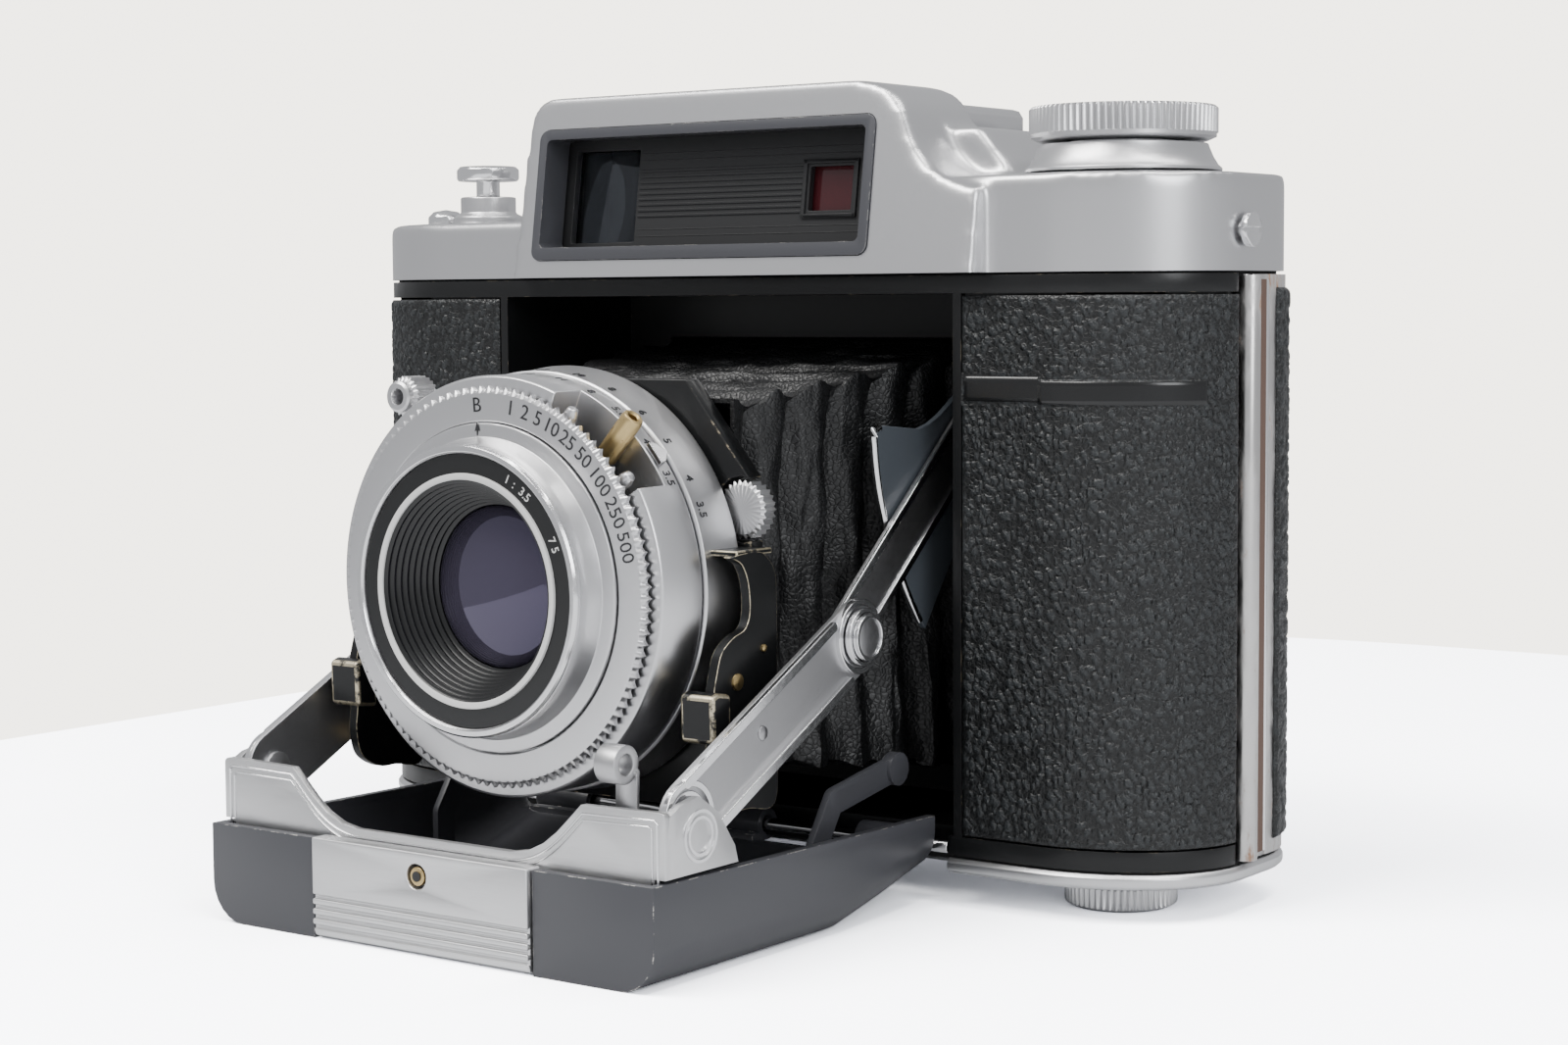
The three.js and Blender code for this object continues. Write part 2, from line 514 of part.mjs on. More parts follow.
const slotTool = [0, 10, 20, 30, 40].map((step) => {
  const chunk = block(20.6, 27, -60, -53.4, -2.6, 2.6);
  return place(chunk.rotate([0, -(28 + step), 0]), ...AXIS);
});
part("shutter_body", cut(turned("y", [
  [12.6, -56.9], [18, -56.9], [18, -59.1], [24.4, -59.1], [25, -58.5], [25, -51.6], [16.6, -51.6],
  [16.6, -44.6], [12.6, -44.6], [12.6, -56.9],
], AXIS, 36), ...slotTool), chrome);
part("distance_ring", turned("y", [
  [17, -51.3], [25.1, -51.3], [25.4, -51], [26, -45.8], [25.4, -45], [17, -45], [17, -51.3],
], AXIS, 36), chrome);
part("focus_wheel", slab("y", knurled(3.5, 0.3, 20, FOCUS_WHEEL[0], FOCUS_WHEEL[2]), -44.6, -41.9), chrome);
part("speed_ring", cut(
  slab("y", knurled(23.7, 0.4, 48, 0, LENS.z), -60.4, -59.4),
  disc("y", 16, -70, -50, AXIS, 32)), chrome);
part("lens_barrel", turned("y", [
  [13.4, -63.8], [16.2, -63.8], [16.2, LENS.front], [LENS.rim, LENS.front], [17.2, -63], [17.9, -60.8],
  [15.6, -60.8], [15.6, -57.2], [13.4, -57.2], [13.4, -63.8],
], AXIS, 36), chrome);
part("name_ring", ring("y", 13.5, 15.9, -64.8, -64.1, AXIS, 32), black);
part("lens_cone", turned("y", [
  [9.6, -58.3], [12.7, -64.7], [13.1, -64.7], [13.1, -57.2], [11.6, -57.2], [11.6, -58.3], [9.6, -58.3],
], AXIS, 32), black);
part("front_lens", turned("y", [
  [0, -60.2], [3.5, -59.9], [6.6, -59.2], [9.1, -58], [11.2, -58], [11.2, -55.5], [0, -55.5],
], AXIS, 28), clearGlass);
part("rear_lens", turned("y", [
  [0, -46.4], [12.2, -46.4], [12.2, -43.4], [9, -42.9], [5, -42.4], [0, -42.1],
], AXIS, 20), clearGlass);

const cockingPin = join(
  disc("x", 1.2, 21, 27.4, [0, -55.4, 0], 12), disc("x", 1.7, 25.4, 26.2, [0, -55.4, 0], 12));
part("cocking_pin", place(cockingPin.rotate([0, -48, 0]), ...AXIS), brass);
const [socketX, , socketZ] = polar(28.8, 130);
part("cable_socket", cut(
  slab("y", knurled(2.7, 0.3, 18, socketX, socketZ), -56, -50.6),
  disc("y", 1.3, -60, -53, [socketX, 0, socketZ], 16),
), chrome);
const pointer = slab(
  "x", [[-53.3, -1.6], [-52.8, -1.6], [-51.5, 0], [-52.8, 1.6], [-53.3, 1.6]], 25.2, 26.1);
part("aperture_pointer", place(pointer.rotate([0, -40, 0]), ...AXIS), chrome);

// Bellows: a square tapered tube folded into pleats.
const PLEATS = 7;
const REAR = { half: 28.6, y: OPENING.back - GAP };
const FRONT = { half: 22, y: LENS.plateBack + GAP };
const bellowsWall = (inset) => {
  const profile = [];
  for (let i = 0; i <= 2 * PLEATS; i++) {
    const t = i / (2 * PLEATS);
    const valley = i % 2 ? 3 : 0;
    const half = THREE.MathUtils.lerp(FRONT.half, REAR.half, t) - valley - inset;
    profile.push([half * Math.SQRT2, THREE.MathUtils.lerp(FRONT.y, REAR.y, t)]);
  }
  return profile;
};
const bellowsProfile = [...bellowsWall(0), ...bellowsWall(1).reverse()];
bellowsProfile.push(bellowsProfile[0]);
const bellows = turned("y", bellowsProfile, [0, 0, 0], 4).rotate([0, 45, 0]);
part("bellows", place(bellows, ...AXIS), bellowsCloth);

export default camera;
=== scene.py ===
"""Looks of the folding camera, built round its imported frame.

Pieces are drawn in millimetres. The camera, lights, floor and materials are in metres."""
import math

import bmesh
import bpy
from mathutils import Matrix, Vector, noise


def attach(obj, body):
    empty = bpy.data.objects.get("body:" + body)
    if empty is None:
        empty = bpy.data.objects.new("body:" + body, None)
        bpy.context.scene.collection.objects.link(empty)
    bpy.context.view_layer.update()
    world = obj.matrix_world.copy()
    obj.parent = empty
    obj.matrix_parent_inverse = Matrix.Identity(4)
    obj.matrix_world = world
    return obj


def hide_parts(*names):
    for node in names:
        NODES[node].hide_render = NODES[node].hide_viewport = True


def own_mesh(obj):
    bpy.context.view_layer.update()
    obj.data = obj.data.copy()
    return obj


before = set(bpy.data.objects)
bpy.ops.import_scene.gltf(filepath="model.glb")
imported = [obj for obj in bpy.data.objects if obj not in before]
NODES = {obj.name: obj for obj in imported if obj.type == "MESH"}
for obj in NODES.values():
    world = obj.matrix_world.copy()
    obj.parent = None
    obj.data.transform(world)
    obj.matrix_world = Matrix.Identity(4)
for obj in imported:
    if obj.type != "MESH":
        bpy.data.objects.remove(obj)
noise.seed_set(11)  # a fixed seed, so that the grain is the same on every run
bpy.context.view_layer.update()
MM = 0.001
TAU = 2 * math.pi
LENS_Z = 37.3  # height of the lens axis, mm
SIDES = (("right", 1), ("left", -1))
FOCAL_MM, SENSOR_MM = 64.59, 36
CAMERA_PLACE, CAMERA_AIM = (0.22162, -0.30604, 0.070816), (36.032, 4.517, -0.369)
FLOOR_Z = -0.0042


def linked(name, data):
    """A new object holding data, in the scene."""
    obj = bpy.data.objects.new(name, data)
    bpy.context.scene.collection.objects.link(obj)
    return obj


def as_object(name, bm):
    """A new object holding bm, which is used up."""
    mesh = bpy.data.meshes.new(name)
    bm.to_mesh(mesh)
    bm.free()
    return linked(name, mesh)


def arc_points(cx, cy, rx, ry, start, turn=90, steps=20):
    """Points of an elliptical arc from start through turn, in degrees."""
    angles = (math.radians(start + turn * k / steps) for k in range(steps + 1))
    return [(cx + rx * math.cos(a), cy + ry * math.sin(a)) for a in angles]


# ---------------------------------------------------------------- camera, light, floor
def aim(obj, azimuth, elevation, roll):
    """Turns an object to look along azimuth (0 is +Y), down by elevation, rolled by roll; degrees."""
    a, e, r = (math.radians(v) for v in (azimuth, elevation, roll))
    ahead = Vector((-math.sin(a) * math.cos(e), math.cos(a) * math.cos(e), -math.sin(e)))
    level = Vector((math.cos(a), math.sin(a), 0))
    above = level.cross(ahead)
    right = math.cos(r) * level + math.sin(r) * above
    up = -math.sin(r) * level + math.cos(r) * above
    turn = Matrix((right, up, -ahead)).transposed()
    obj.rotation_mode = "QUATERNION"
    obj.rotation_quaternion = turn.to_quaternion()


def make_camera():
    data = bpy.data.cameras.new("view_camera")
    data.sensor_width = SENSOR_MM
    data.lens = FOCAL_MM
    data.clip_start = 0.01
    camera = linked("view_camera", data)
    camera.location = CAMERA_PLACE
    aim(camera, *CAMERA_AIM)
    bpy.context.scene.camera = camera


def area_light(name, place, target, size, watts, colour):
    data = bpy.data.lights.new(name, "AREA")
    data.shape = "RECTANGLE"
    data.size, data.size_y = size
    data.energy = watts
    data.color = colour
    light = linked(name, data)
    light.location = place
    light.rotation_mode = "QUATERNION"
    light.rotation_quaternion = (Vector(target) - Vector(place)).to_track_quat("-Z", "Y")


def seen_mix(tree):
    """A mix shader that shows its second shader to the camera and its first to everything else."""
    seen = tree.nodes.new("ShaderNodeLightPath").outputs["Is Camera Ray"]
    both = tree.nodes.new("ShaderNodeMixShader")
    tree.links.new(seen, both.inputs[0])
    return both


def make_lights():
    """A bright room: the wall behind is lighter than what lights the object."""
    world = bpy.data.worlds.new("studio")
    world.use_nodes = True
    tree = world.node_tree
    room = tree.nodes["Background"]
    room.inputs["Color"].default_value = (0.96, 0.97, 1.0, 1)
    room.inputs["Strength"].default_value = 0.62
    wall = tree.nodes.new("ShaderNodeBackground")
    wall.inputs["Color"].default_value = (1.0, 0.955, 0.865, 1)
    wall.inputs["Strength"].default_value = 4.4
    both = seen_mix(tree)
    tree.links.new(room.outputs[0], both.inputs[1])
    tree.links.new(wall.outputs[0], both.inputs[2])
    tree.links.new(both.outputs[0], tree.nodes["World Output"].inputs["Surface"])
    bpy.context.scene.world = world
    area_light("key", (-0.30, -0.60, 0.85), (0, -0.02, 0.04), (0.75, 0.22), 8, (1, 0.985, 0.96))
    for k in range(3):
        place = (-0.25 + 0.33 * k, -0.42 + 0.22 * k, 0.95)
        area_light(f"overhead_{k + 1}", place, (0, 0, 0.05), (1.1, 0.05), 3.2, (1, 0.99, 0.97))
    area_light("side", (0.85, -0.45, 0.45), (0.03, 0, 0.05), (0.35, 0.5), 4.0, (0.96, 0.98, 1))


# ---------------------------------------------------------------- materials
class Graph:
    """A material under construction: nodes are added with their sockets set or wired."""

    def __init__(self, name, colour, roughness, metallic=0.0, **sockets):
        self.material = bpy.data.materials.new(name)
        self.material.use_nodes = True
        self.tree = self.material.node_tree
        self.shader = self.tree.nodes["Principled BSDF"]
        self.set("Base Color", (*colour, 1))
        self.set("Roughness", roughness)
        self.set("Metallic", metallic)
        for socket, value in sockets.items():
            self.set(socket.replace("_", " "), value)

    def feed(self, socket, value):
        """Sets a socket to a constant, or wires another node's output into it."""
        if isinstance(value, bpy.types.NodeSocket):
            self.tree.links.new(value, socket)
        else:
            socket.default_value = value

    def set(self, socket, value):
        self.feed(self.shader.inputs[socket], value)

    def add(self, kind, inputs=None, **settings):
        node = self.tree.nodes.new(kind)
        for key, value in settings.items():
            setattr(node, key, value)
        for key, value in (inputs or {}).items():
            self.feed(node.inputs[key], value)
        return node

    def place(self, scale=(1, 1, 1)):
        """Coordinates fixed to the piece, stretched by scale; metres."""
        where = self.add("ShaderNodeTexCoord").outputs["Object"]
        return self.add("ShaderNodeMapping", {"Vector": where, "Scale": scale}).outputs["Vector"]

    def noise(self, scale, detail=3.0, roughness=0.55, stretch=(1, 1, 1)):
        inputs = {"Vector": self.place(stretch), "Scale": scale, "Detail": detail, "Roughness": roughness}
        return self.add("ShaderNodeTexNoise", inputs).outputs["Fac"]

    def ramp(self, value, *stops):
        """A colour ramp with stops of (position, grey or colour)."""
        node = self.add("ShaderNodeValToRGB", {"Fac": value})
        elements = node.color_ramp.elements
        for element, (position, _) in zip(elements, (stops[0], stops[-1])):
            element.position = position
        for position, _ in stops[1:-1]:
            elements.new(position)
        for element, (_, colour) in zip(elements, stops):
            element.color = (*colour, 1) if isinstance(colour, tuple) else (colour, colour, colour, 1)
        return node.outputs["Color"]

    def math(self, operation, a, b):
        return self.add("ShaderNodeMath", {0: a, 1: b}, operation=operation).outputs["Value"]

    def mix(self, factor, a, b):
        """Mix of two colours; the node keeps them at sockets 6 and 7, and its colour at output 2."""
        node = self.add("ShaderNodeMix", data_type="RGBA")
        for index, value in ((0, factor), (6, a), (7, b)):
            self.feed(node.inputs[index], (*value, 1) if isinstance(value, tuple) else value)
        return node.outputs[2]

    def bump(self, height, strength, distance):
        node = self.add("ShaderNodeBump", {"Height": height, "Strength": strength, "Distance": distance})
        self.set("Normal", node.outputs["Normal"])


def metal(name, colour, roughness, spread, grain, stretch=(1, 1, 1), height=0.15):
    """Bare or plated metal: roughness varies by spread over grain-sized patches."""
    g = Graph(name, colour, roughness, 1.0)
    fine = g.noise(grain, 4.0, 0.65, stretch)
    g.set("Roughness", g.ramp(fine, (0.25, roughness - spread), (0.75, roughness + spread)))
    g.bump(fine, height, 0.00004)
    return g.material


def painted(name, colour, roughness, specular=0.35, grain=2600, height=0.12):
    """Plain enamel with a slight orange peel."""
    g = Graph(name, colour, roughness, 0.0, Specular_IOR_Level=specular)
    g.bump(g.noise(grain, 2.0), height, 0.00004)
    return g.material


def chipped(name, colour, bare, roughness, low, high, scale=420):
    """Paint on an edge, worn through to bare metal where coarse noise passes from low to high."""
    g = Graph(name, colour, roughness)
    wear = g.ramp(g.noise(scale, 5.0, 0.72), (low, 0.0), (high, 1.0))
    g.set("Base Color", g.mix(wear, colour, bare))
    g.set("Metallic", wear)
    return g.material


def rusting(name, colour, rust, roughness, low, high, scale):
    """Plating with rust where coarse noise passes from low to high."""
    g = Graph(name, colour, roughness, 1.0)
    patch = g.noise(scale, 6.0, 0.7, (1, 1, 0.35))
    g.set("Base Color", g.mix(g.ramp(patch, (low, 0.0), (high, 1.0)), colour, rust))
    g.set("Metallic", g.ramp(patch, (low, 1.0), (high, 0.15)))
    g.set("Roughness", g.ramp(patch, (low - 0.15, roughness), (high, 0.75)))
    return g.material


def leather(name, colour, crease, scale, roughness, height, depth, pit_shade=None):
    """Pebbled skin: rounded cells of about 1 / scale metres, with the crease colour between them as painted shade.

    When a pit colour is given, the colour follows the modelled grain, kept on the mesh as pit: 0 in a pit, 1 on top,
    and the pits are darkened to that colour as painted shade."""
    g = Graph(name, colour, roughness, 0.0, Specular_IOR_Level=0.45)
    drift = g.add("ShaderNodeTexNoise", {"Vector": g.place(), "Scale": scale * 0.7, "Detail": 2.0})
    shifted = g.add(
        "ShaderNodeVectorMath", {0: drift.outputs["Color"], "Scale": 0.55 / scale}, operation="SCALE")
    where = g.add(
        "ShaderNodeVectorMath", {0: g.place(), 1: shifted.outputs["Vector"]}, operation="ADD")
    cells = g.add(
        "ShaderNodeTexVoronoi", {"Vector": where.outputs["Vector"], "Scale": scale},
        feature="DISTANCE_TO_EDGE")
    edge = cells.outputs["Distance"]
    pebble = g.ramp(edge, (0.0, 0.0), (0.1, 0.55), (0.35, 1.0))
    # Painted shade: the base colour darkens to the crease colour along the cell edges.
    g.set("Base Color", g.ramp(edge, (0.0, crease), (0.16, colour)))
    # Painted shade: the pits of the modelled grain are darkened to the pit colour.
    if pit_shade:
        grain_height = g.add("ShaderNodeAttribute", {}, attribute_name="pit").outputs["Fac"]
        g.set("Base Color", g.ramp(grain_height, (0.2, pit_shade), (0.85, colour)))
    fine = g.math("MULTIPLY", g.noise(scale * 9, 3.0), 0.16)
    g.bump(g.math("ADD", pebble, fine), height, depth)
    return g.material


def glass(name, tint_and_shade, coating, roughness=0.02, transmission=1.0):
    """Glass with a thin reflective coating of its own colour; a dark base colour given to it is painted shade."""
    g = Graph(
        name, tint_and_shade, roughness, 0.0, IOR=1.52, Specular_IOR_Level=0.9, Transmission_Weight=transmission)
    g.set("Specular Tint", (*coating, 1))
    return g.material


GREY = (0.050, 0.051, 0.058)
BLACK = (0.0055, 0.0058, 0.0062)
M = {
    "chrome": metal("satin_chrome", (0.66, 0.66, 0.67), 0.33, 0.05, 5200),
    "aluminium": metal("brushed_aluminium", (0.72, 0.72, 0.725), 0.40, 0.08, 900, (0.35, 5, 5), 0.3),
    "polished": metal("polished_steel", (0.78, 0.78, 0.79), 0.16, 0.05, 1500, (1, 1, 1), 0.06),
    "steel": metal("plain_steel", (0.42, 0.42, 0.43), 0.34, 0.08, 1800),
    "satin": metal("satin_steel", (0.50, 0.50, 0.51), 0.42, 0.06, 2400),
    "sector": painted("sector_enamel", (0.060, 0.069, 0.080), 0.34, 0.6),
    "enamel": painted("grey_enamel", GREY, 0.36, 0.5),
    "enamel_edge": chipped("grey_enamel_worn", GREY, (0.62, 0.60, 0.56), 0.34, 0.52, 0.60),
    "black": painted("black_paint", BLACK, 0.32),
    "black_edge": chipped("black_paint_worn", BLACK, (0.42, 0.36, 0.26), 0.34, 0.55, 0.62),
    "bracket_edge": chipped("bracket_worn", BLACK, (0.62, 0.55, 0.40), 0.36, 0.40, 0.50),
    "dull": Graph("inside_black", (0.006, 0.006, 0.0062), 0.7, Specular_IOR_Level=0.2).material,
    # Leatherette: its crease and pit colours are painted shade.
    "leather": leather("leatherette", (0.0150, 0.0172, 0.0186), (0.004, 0.0046, 0.005),
                       1700, 0.38, 0.45, 0.00014, pit_shade=(0.0022, 0.0026, 0.0028)),
    # Bellows: its crease colour is painted shade.
    "bellows": leather("bellows_leather", (0.0075, 0.0078, 0.0085), (0.003, 0.003, 0.003),
                       1500, 0.40, 0.5, 0.00012),
    "brass": metal("brass", (0.56, 0.42, 0.20), 0.32, 0.08, 1600),
    # Front element: its dark violet colour, three quarters opaque, is painted shade of the lens's depth; the
    # specular tint is the coating's own reflection colour.
    "coated": glass("coated_glass", (0.050, 0.044, 0.066), (0.72, 0.66, 1.0), 0.03, 0.25),
    "panel": painted("window_panel_black", (0.016, 0.0162, 0.017), 0.42, 0.4),
    "plated": rusting("plated_worn", (0.60, 0.59, 0.58), (0.30, 0.14, 0.06), 0.28, 0.60, 0.70, 330),
    "red_dark": Graph("range_window_red", (0.055, 0.010, 0.013), 0.12).material,
    # Inner elements drawn opaque: the dark violet colour is painted shade of the lens's depth, with painted
    # reflection of its violet coating.
    "painted_shade_glass": Graph("inner_glass_painted_shade", (0.060, 0.052, 0.085), 0.16, 0.0, Specular_IOR_Level=1.0).material,
    "gloss": Graph("band_lacquer", (0.006, 0.0062, 0.0065), 0.2).material,
    "rusty": painted("rust_brown", (0.105, 0.062, 0.046), 0.6),
    "clear": glass("window_glass", (0.80, 0.83, 0.86), (0.85, 0.9, 1.0)),
    "red": glass("red_glass", (0.42, 0.02, 0.03), (1.0, 0.6, 0.6)),
    "plastic": Graph("black_plastic", BLACK, 0.3).material,
    "ink": Graph("dial_ink", (0.01, 0.01, 0.012), 0.5).material,
    "white": Graph("white_fill", (0.62, 0.62, 0.61), 0.5).material,
}


def table_top():
    """White table, shown to the camera brighter than it lights the object, like the wall."""
    material = bpy.data.materials.new("table_white")
    material.use_nodes = True
    tree = material.node_tree
    tree.nodes.remove(tree.nodes["Principled BSDF"])
    both = seen_mix(tree)
    for slot, grey in ((1, (0.72, 0.73, 0.75, 1)), (2, (4.1, 4.15, 4.35, 1))):
        diffuse = tree.nodes.new("ShaderNodeBsdfDiffuse")
        diffuse.inputs["Color"].default_value = grey
        tree.links.new(diffuse.outputs[0], both.inputs[slot])
    tree.links.new(both.outputs[0], tree.nodes["Material Output"].inputs["Surface"])
    return material


def make_floor():
    """A flat table top with rounded corners, level with the lower faces of the foot knobs."""
    bm = bmesh.new()
    corner, steps = 0.15, 24
    middles = ((0.60, 0.112, 0), (-0.022, 0.112, 90), (-0.022, -0.70, 180), (0.60, -0.70, 270))
    edge = []
    for x, y, start in middles:
        edge += [bm.verts.new((*p, 0)) for p in arc_points(x, y, corner, corner, start, steps=steps)]
    bm.faces.new(edge)
    floor = as_object("table_top", bm)
    floor.location = (0, 0, FLOOR_Z)
    floor.data.materials.append(table_top())


# ---------------------------------------------------------------- CAD pieces that stay
def soften(obj, width_mm, angle=32, segments=3, edge=None):
    """Rounds the edges of a mesh sharper than angle, in material edge if given, and shades it smooth."""
    weld = obj.modifiers.new("weld", "WELD")
    weld.merge_threshold = 0.00001
    bevel = obj.modifiers.new("edges", "BEVEL")
    bevel.width = width_mm * MM
    bevel.segments = segments
    bevel.limit_method = "ANGLE"
    bevel.angle_limit = math.radians(angle)
    bevel.harden_normals = True
    if edge:
        obj.data.materials.append(M[edge])
        bevel.material = len(obj.data.materials) - 1
    for face in obj.data.polygons:
        face.use_smooth = True


def dress(material, width_mm, *names, edge=None):
    for name in names:
        node = NODES[name]
        node.data.materials.clear()
        node.data.materials.append(M[material])
        soften(node, width_mm, edge=edge)


dress("chrome", 0.25, "bottom_plate", "accessory_shoe", "button_collar", "knob_collar",
      "shutter_body", "speed_ring", "distance_ring", "lens_barrel",
      "cable_socket", "aperture_pointer", "focus_wheel", "winding_knob", "top_cover")
dress("polished", 0.15, "shutter_button", "double_exposure_stud", "cover_screw_right",
      "cover_screw_left", "foot_knob_right", "foot_knob_left", "door_hinge_pin", "bed_hinge_pin",
      "door_latch")
dress("enamel", 0.3, "window_bezel", "bed_tray", "bed_lever_right", "bed_lever_left", edge="enamel_edge")
dress("satin", 0.12, "hook_spring")
dress("black", 0.2, "standard_bracket_right", "standard_bracket_left", edge="bracket_edge")
dress("black", 0.2, "body_casting", "standard_plate", "viewfinder_eyepiece", "pressure_plate",
      "front_strut_right", "front_strut_left",
      "rear_strut_right", "rear_strut_left", "sector_plate_right", "sector_plate_left",
      "red_window_cover", edge="black_edge")
dress("dull", 0.05, "window_panel", "takeup_spool", "supply_spool", "name_ring", "lens_cone")
dress("leather", 0.2, "front_leather_right", "front_leather_left", "door_leather")
dress("bellows", 0.2, "bellows")
dress("aluminium", 0.3, "bed_block", "bed_crosspiece")
dress("brass", 0.1, "lock_pin", "tripod_bush", "cocking_pin")
dress("coated", 0.05, "front_lens", "rear_lens")
dress("clear", 0.05, "viewfinder_window")
dress("red_dark", 0.05, "rangefinder_window")
dress("plated", 0.25, "back_door")
dress("red", 0.05, "red_window")


# ---------------------------------------------------------------- tools for the detailed pieces
def piece(name, bm, material, body, *replaced, width_mm=0.0, angle=32, segments=3, edge=None, finish=None):
    """A new object from bm, in millimetres, riding on a CAD body and standing for CAD nodes.

    With a width, its edges are bevelled, in the material edge if one is given."""
    bmesh.ops.recalc_face_normals(bm, faces=bm.faces)
    bmesh.ops.scale(bm, vec=(MM, MM, MM), verts=bm.verts)
    obj = as_object(name, bm)
    obj.data.materials.append(M[material])
    if width_mm:
        soften(obj, width_mm, angle, segments, edge)
    else:
        obj.data.shade_smooth()
        obj.data.set_sharp_from_angle(angle=math.radians(angle))
    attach(obj, body)
    if replaced:
        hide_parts(*replaced)
    return obj


def polar(axis, radius, along, angle):
    """Point at radius and angle round an axis: y runs through the lens, z through the winder side."""
    c, s = radius * math.cos(angle), radius * math.sin(angle)
    return (c, along, s) if axis == "y" else (c, s, along)


def lathe(profile, centre, axis="y", segments=160, knurl=None, bm=None):
    """Closed (radius, along) profile turned round an axis. knurl = (points of the profile, teeth,
    depth, sharpness) pulls those points in between the teeth."""
    bm = bm or bmesh.new()
    rings = []
    for k in range(segments):
        angle = TAU * k / segments
        ring = []
        for i, (radius, along) in enumerate(profile):
            if knurl and i in knurl[0]:
                radius -= knurl[2] * (0.5 - 0.5 * math.cos(angle * knurl[1])) ** knurl[3]
            place = Vector(centre) + Vector(polar(axis, radius, along, angle))
            ring.append(bm.verts.new(place))
        rings.append(ring)
    n = len(profile)
    for k in range(segments):
        a, b = rings[k], rings[(k + 1) % segments]
        for i in range(n):
            j = (i + 1) % n
            if profile[i][0] == 0 and profile[j][0] == 0:
                continue
            if profile[i][0] == 0:
                bm.faces.new((a[i], a[j], b[j]))
            elif profile[j][0] == 0:
                bm.faces.new((a[i], a[j], b[i]))
            else:
                bm.faces.new((a[i], a[j], b[j], b[i]))
    bmesh.ops.remove_doubles(bm, verts=bm.verts, dist=1e-5)
    return bm


def prism(outline, axis, start, end, bm=None):
    """Outline of (u, v) points swept along an axis: x takes (y, z), y takes (x, z), z takes (x, y)."""
    bm = bm or bmesh.new()
    order = {
        "x": lambda u, v, w: (w, u, v), "y": lambda u, v, w: (u, w, v), "z": lambda u, v, w: (u, v, w),
    }[axis]
    near = [bm.verts.new(order(u, v, start)) for u, v in outline]
    far = [bm.verts.new(order(u, v, end)) for u, v in outline]
    bm.faces.new(near)
    bm.faces.new(list(reversed(far)))
    for i in range(len(outline)):
        j = (i + 1) % len(outline)
        bm.faces.new((near[i], near[j], far[j], far[i]))
    return bm


def box(low, high, bm=None):
    outline = [(low[0], low[1]), (high[0], low[1]), (high[0], high[1]), (low[0], high[1])]
    return prism(outline, "z", low[2], high[2], bm)


def rounded(left, right, low, high, radius, steps=6):
    """Outline of a rectangle with rounded corners."""
    corners = ((right, high, 0), (left, high, 90), (left, low, 180), (right, low, 270))
    points = []
    for x, y, start in corners:
        cx = x - radius if x == right else x + radius
        cy = y - radius if y == high else y + radius
        points += arc_points(cx, cy, radius, radius, start, steps=steps)
    return points


def tube(path, radius, bm=None, sides=12, closed=False):
    """Round wire through 3-D points, capped unless closed."""
    bm = bm or bmesh.new()
    points = [Vector(p) for p in path]
    rings = []
    up = Vector((0.13, 0.31, 0.94)).normalized()
    for i, p in enumerate(points):
        before = points[i - 1] if i or closed else p
        after = points[(i + 1) % len(points)] if i < len(points) - 1 or closed else p
        ahead = (after - before).normalized()
        right = ahead.cross(up).normalized()
        above = right.cross(ahead)
        rings.append([bm.verts.new(p + radius * (math.cos(t) * right + math.sin(t) * above))
                      for t in (TAU * k / sides for k in range(sides))])
    last = len(rings) if closed else len(rings) - 1
    for i in range(last):
        a, b = rings[i], rings[(i + 1) % len(rings)]
        for k in range(sides):
            bm.faces.new((a[k], a[(k + 1) % sides], b[(k + 1) % sides], b[k]))
    if not closed:
        bm.faces.new(rings[0])
        bm.faces.new(rings[-1])
    return bm


def lettering(text, size, depth):
    """Raised numerals as a bmesh in the x-y plane, centred on the origin; millimetres."""
    curve = bpy.data.curves.new("numerals", "FONT")
    curve.body = text
    curve.size = size
    curve.extrude = depth / 2
    curve.align_x = "CENTER"
    curve.align_y = "CENTER"
    curve.resolution_u = 3
    holder = linked("numerals", curve)
    bpy.context.view_layer.update()
    mesh = bpy.data.meshes.new_from_object(holder)
    bm = bmesh.new()
    bm.from_mesh(mesh)
    bpy.data.objects.remove(holder)
    bpy.data.meshes.remove(mesh)
    bpy.data.curves.remove(curve)
    return bm


def gather(target, source, place=None):
    """Adds source to target, each vertex moved by place if it is given."""
    for v in source.verts if place else ():
        v.co = place(v.co)
    mesh = bpy.data.meshes.new("part")
    source.to_mesh(mesh)
    source.free()
    target.from_mesh(mesh)
    bpy.data.meshes.remove(mesh)


# ---------------------------------------------------------------- lens and shutter
AXIS = (0, 0, LENS_Z)


def applied(obj, *helpers):
    """What obj looks like with its modifiers, as a bmesh; obj and its helpers are removed."""
    mesh = bpy.data.meshes.new_from_object(obj.evaluated_get(bpy.context.evaluated_depsgraph_get()))
    result = bmesh.new()
    result.from_mesh(mesh)
    bpy.data.meshes.remove(mesh)
    for used in (obj, *helpers):
        mesh = used.data
        bpy.data.objects.remove(used)
        bpy.data.meshes.remove(mesh)
    return result


def carve(bm, *cutters):
    """Takes cutter meshes out of a solid mesh; all in the same units."""
    for solid in (bm, *cutters):
        bmesh.ops.recalc_face_normals(solid, faces=solid.faces)
    whole = as_object("whole", bm)
    tools = [as_object("cutter", cutter) for cutter in cutters]
    for tool in tools:
        modifier = whole.modifiers.new("cut", "BOOLEAN")
        modifier.operation = "DIFFERENCE"
        modifier.solver = "EXACT"
        modifier.object = tool
    return applied(whole, *tools)


def on_face(radius, angle, y):
    """Places flat lettering on a ring's front face, its foot towards the axis."""
    a = math.radians(angle)
    outward, along = Vector((math.cos(a), 0, math.sin(a))), Vector((math.sin(a), 0, -math.cos(a)))
    return lambda v: Vector(AXIS) + (radius + v.y) * outward + v.x * along + Vector((0, y - v.z, 0))


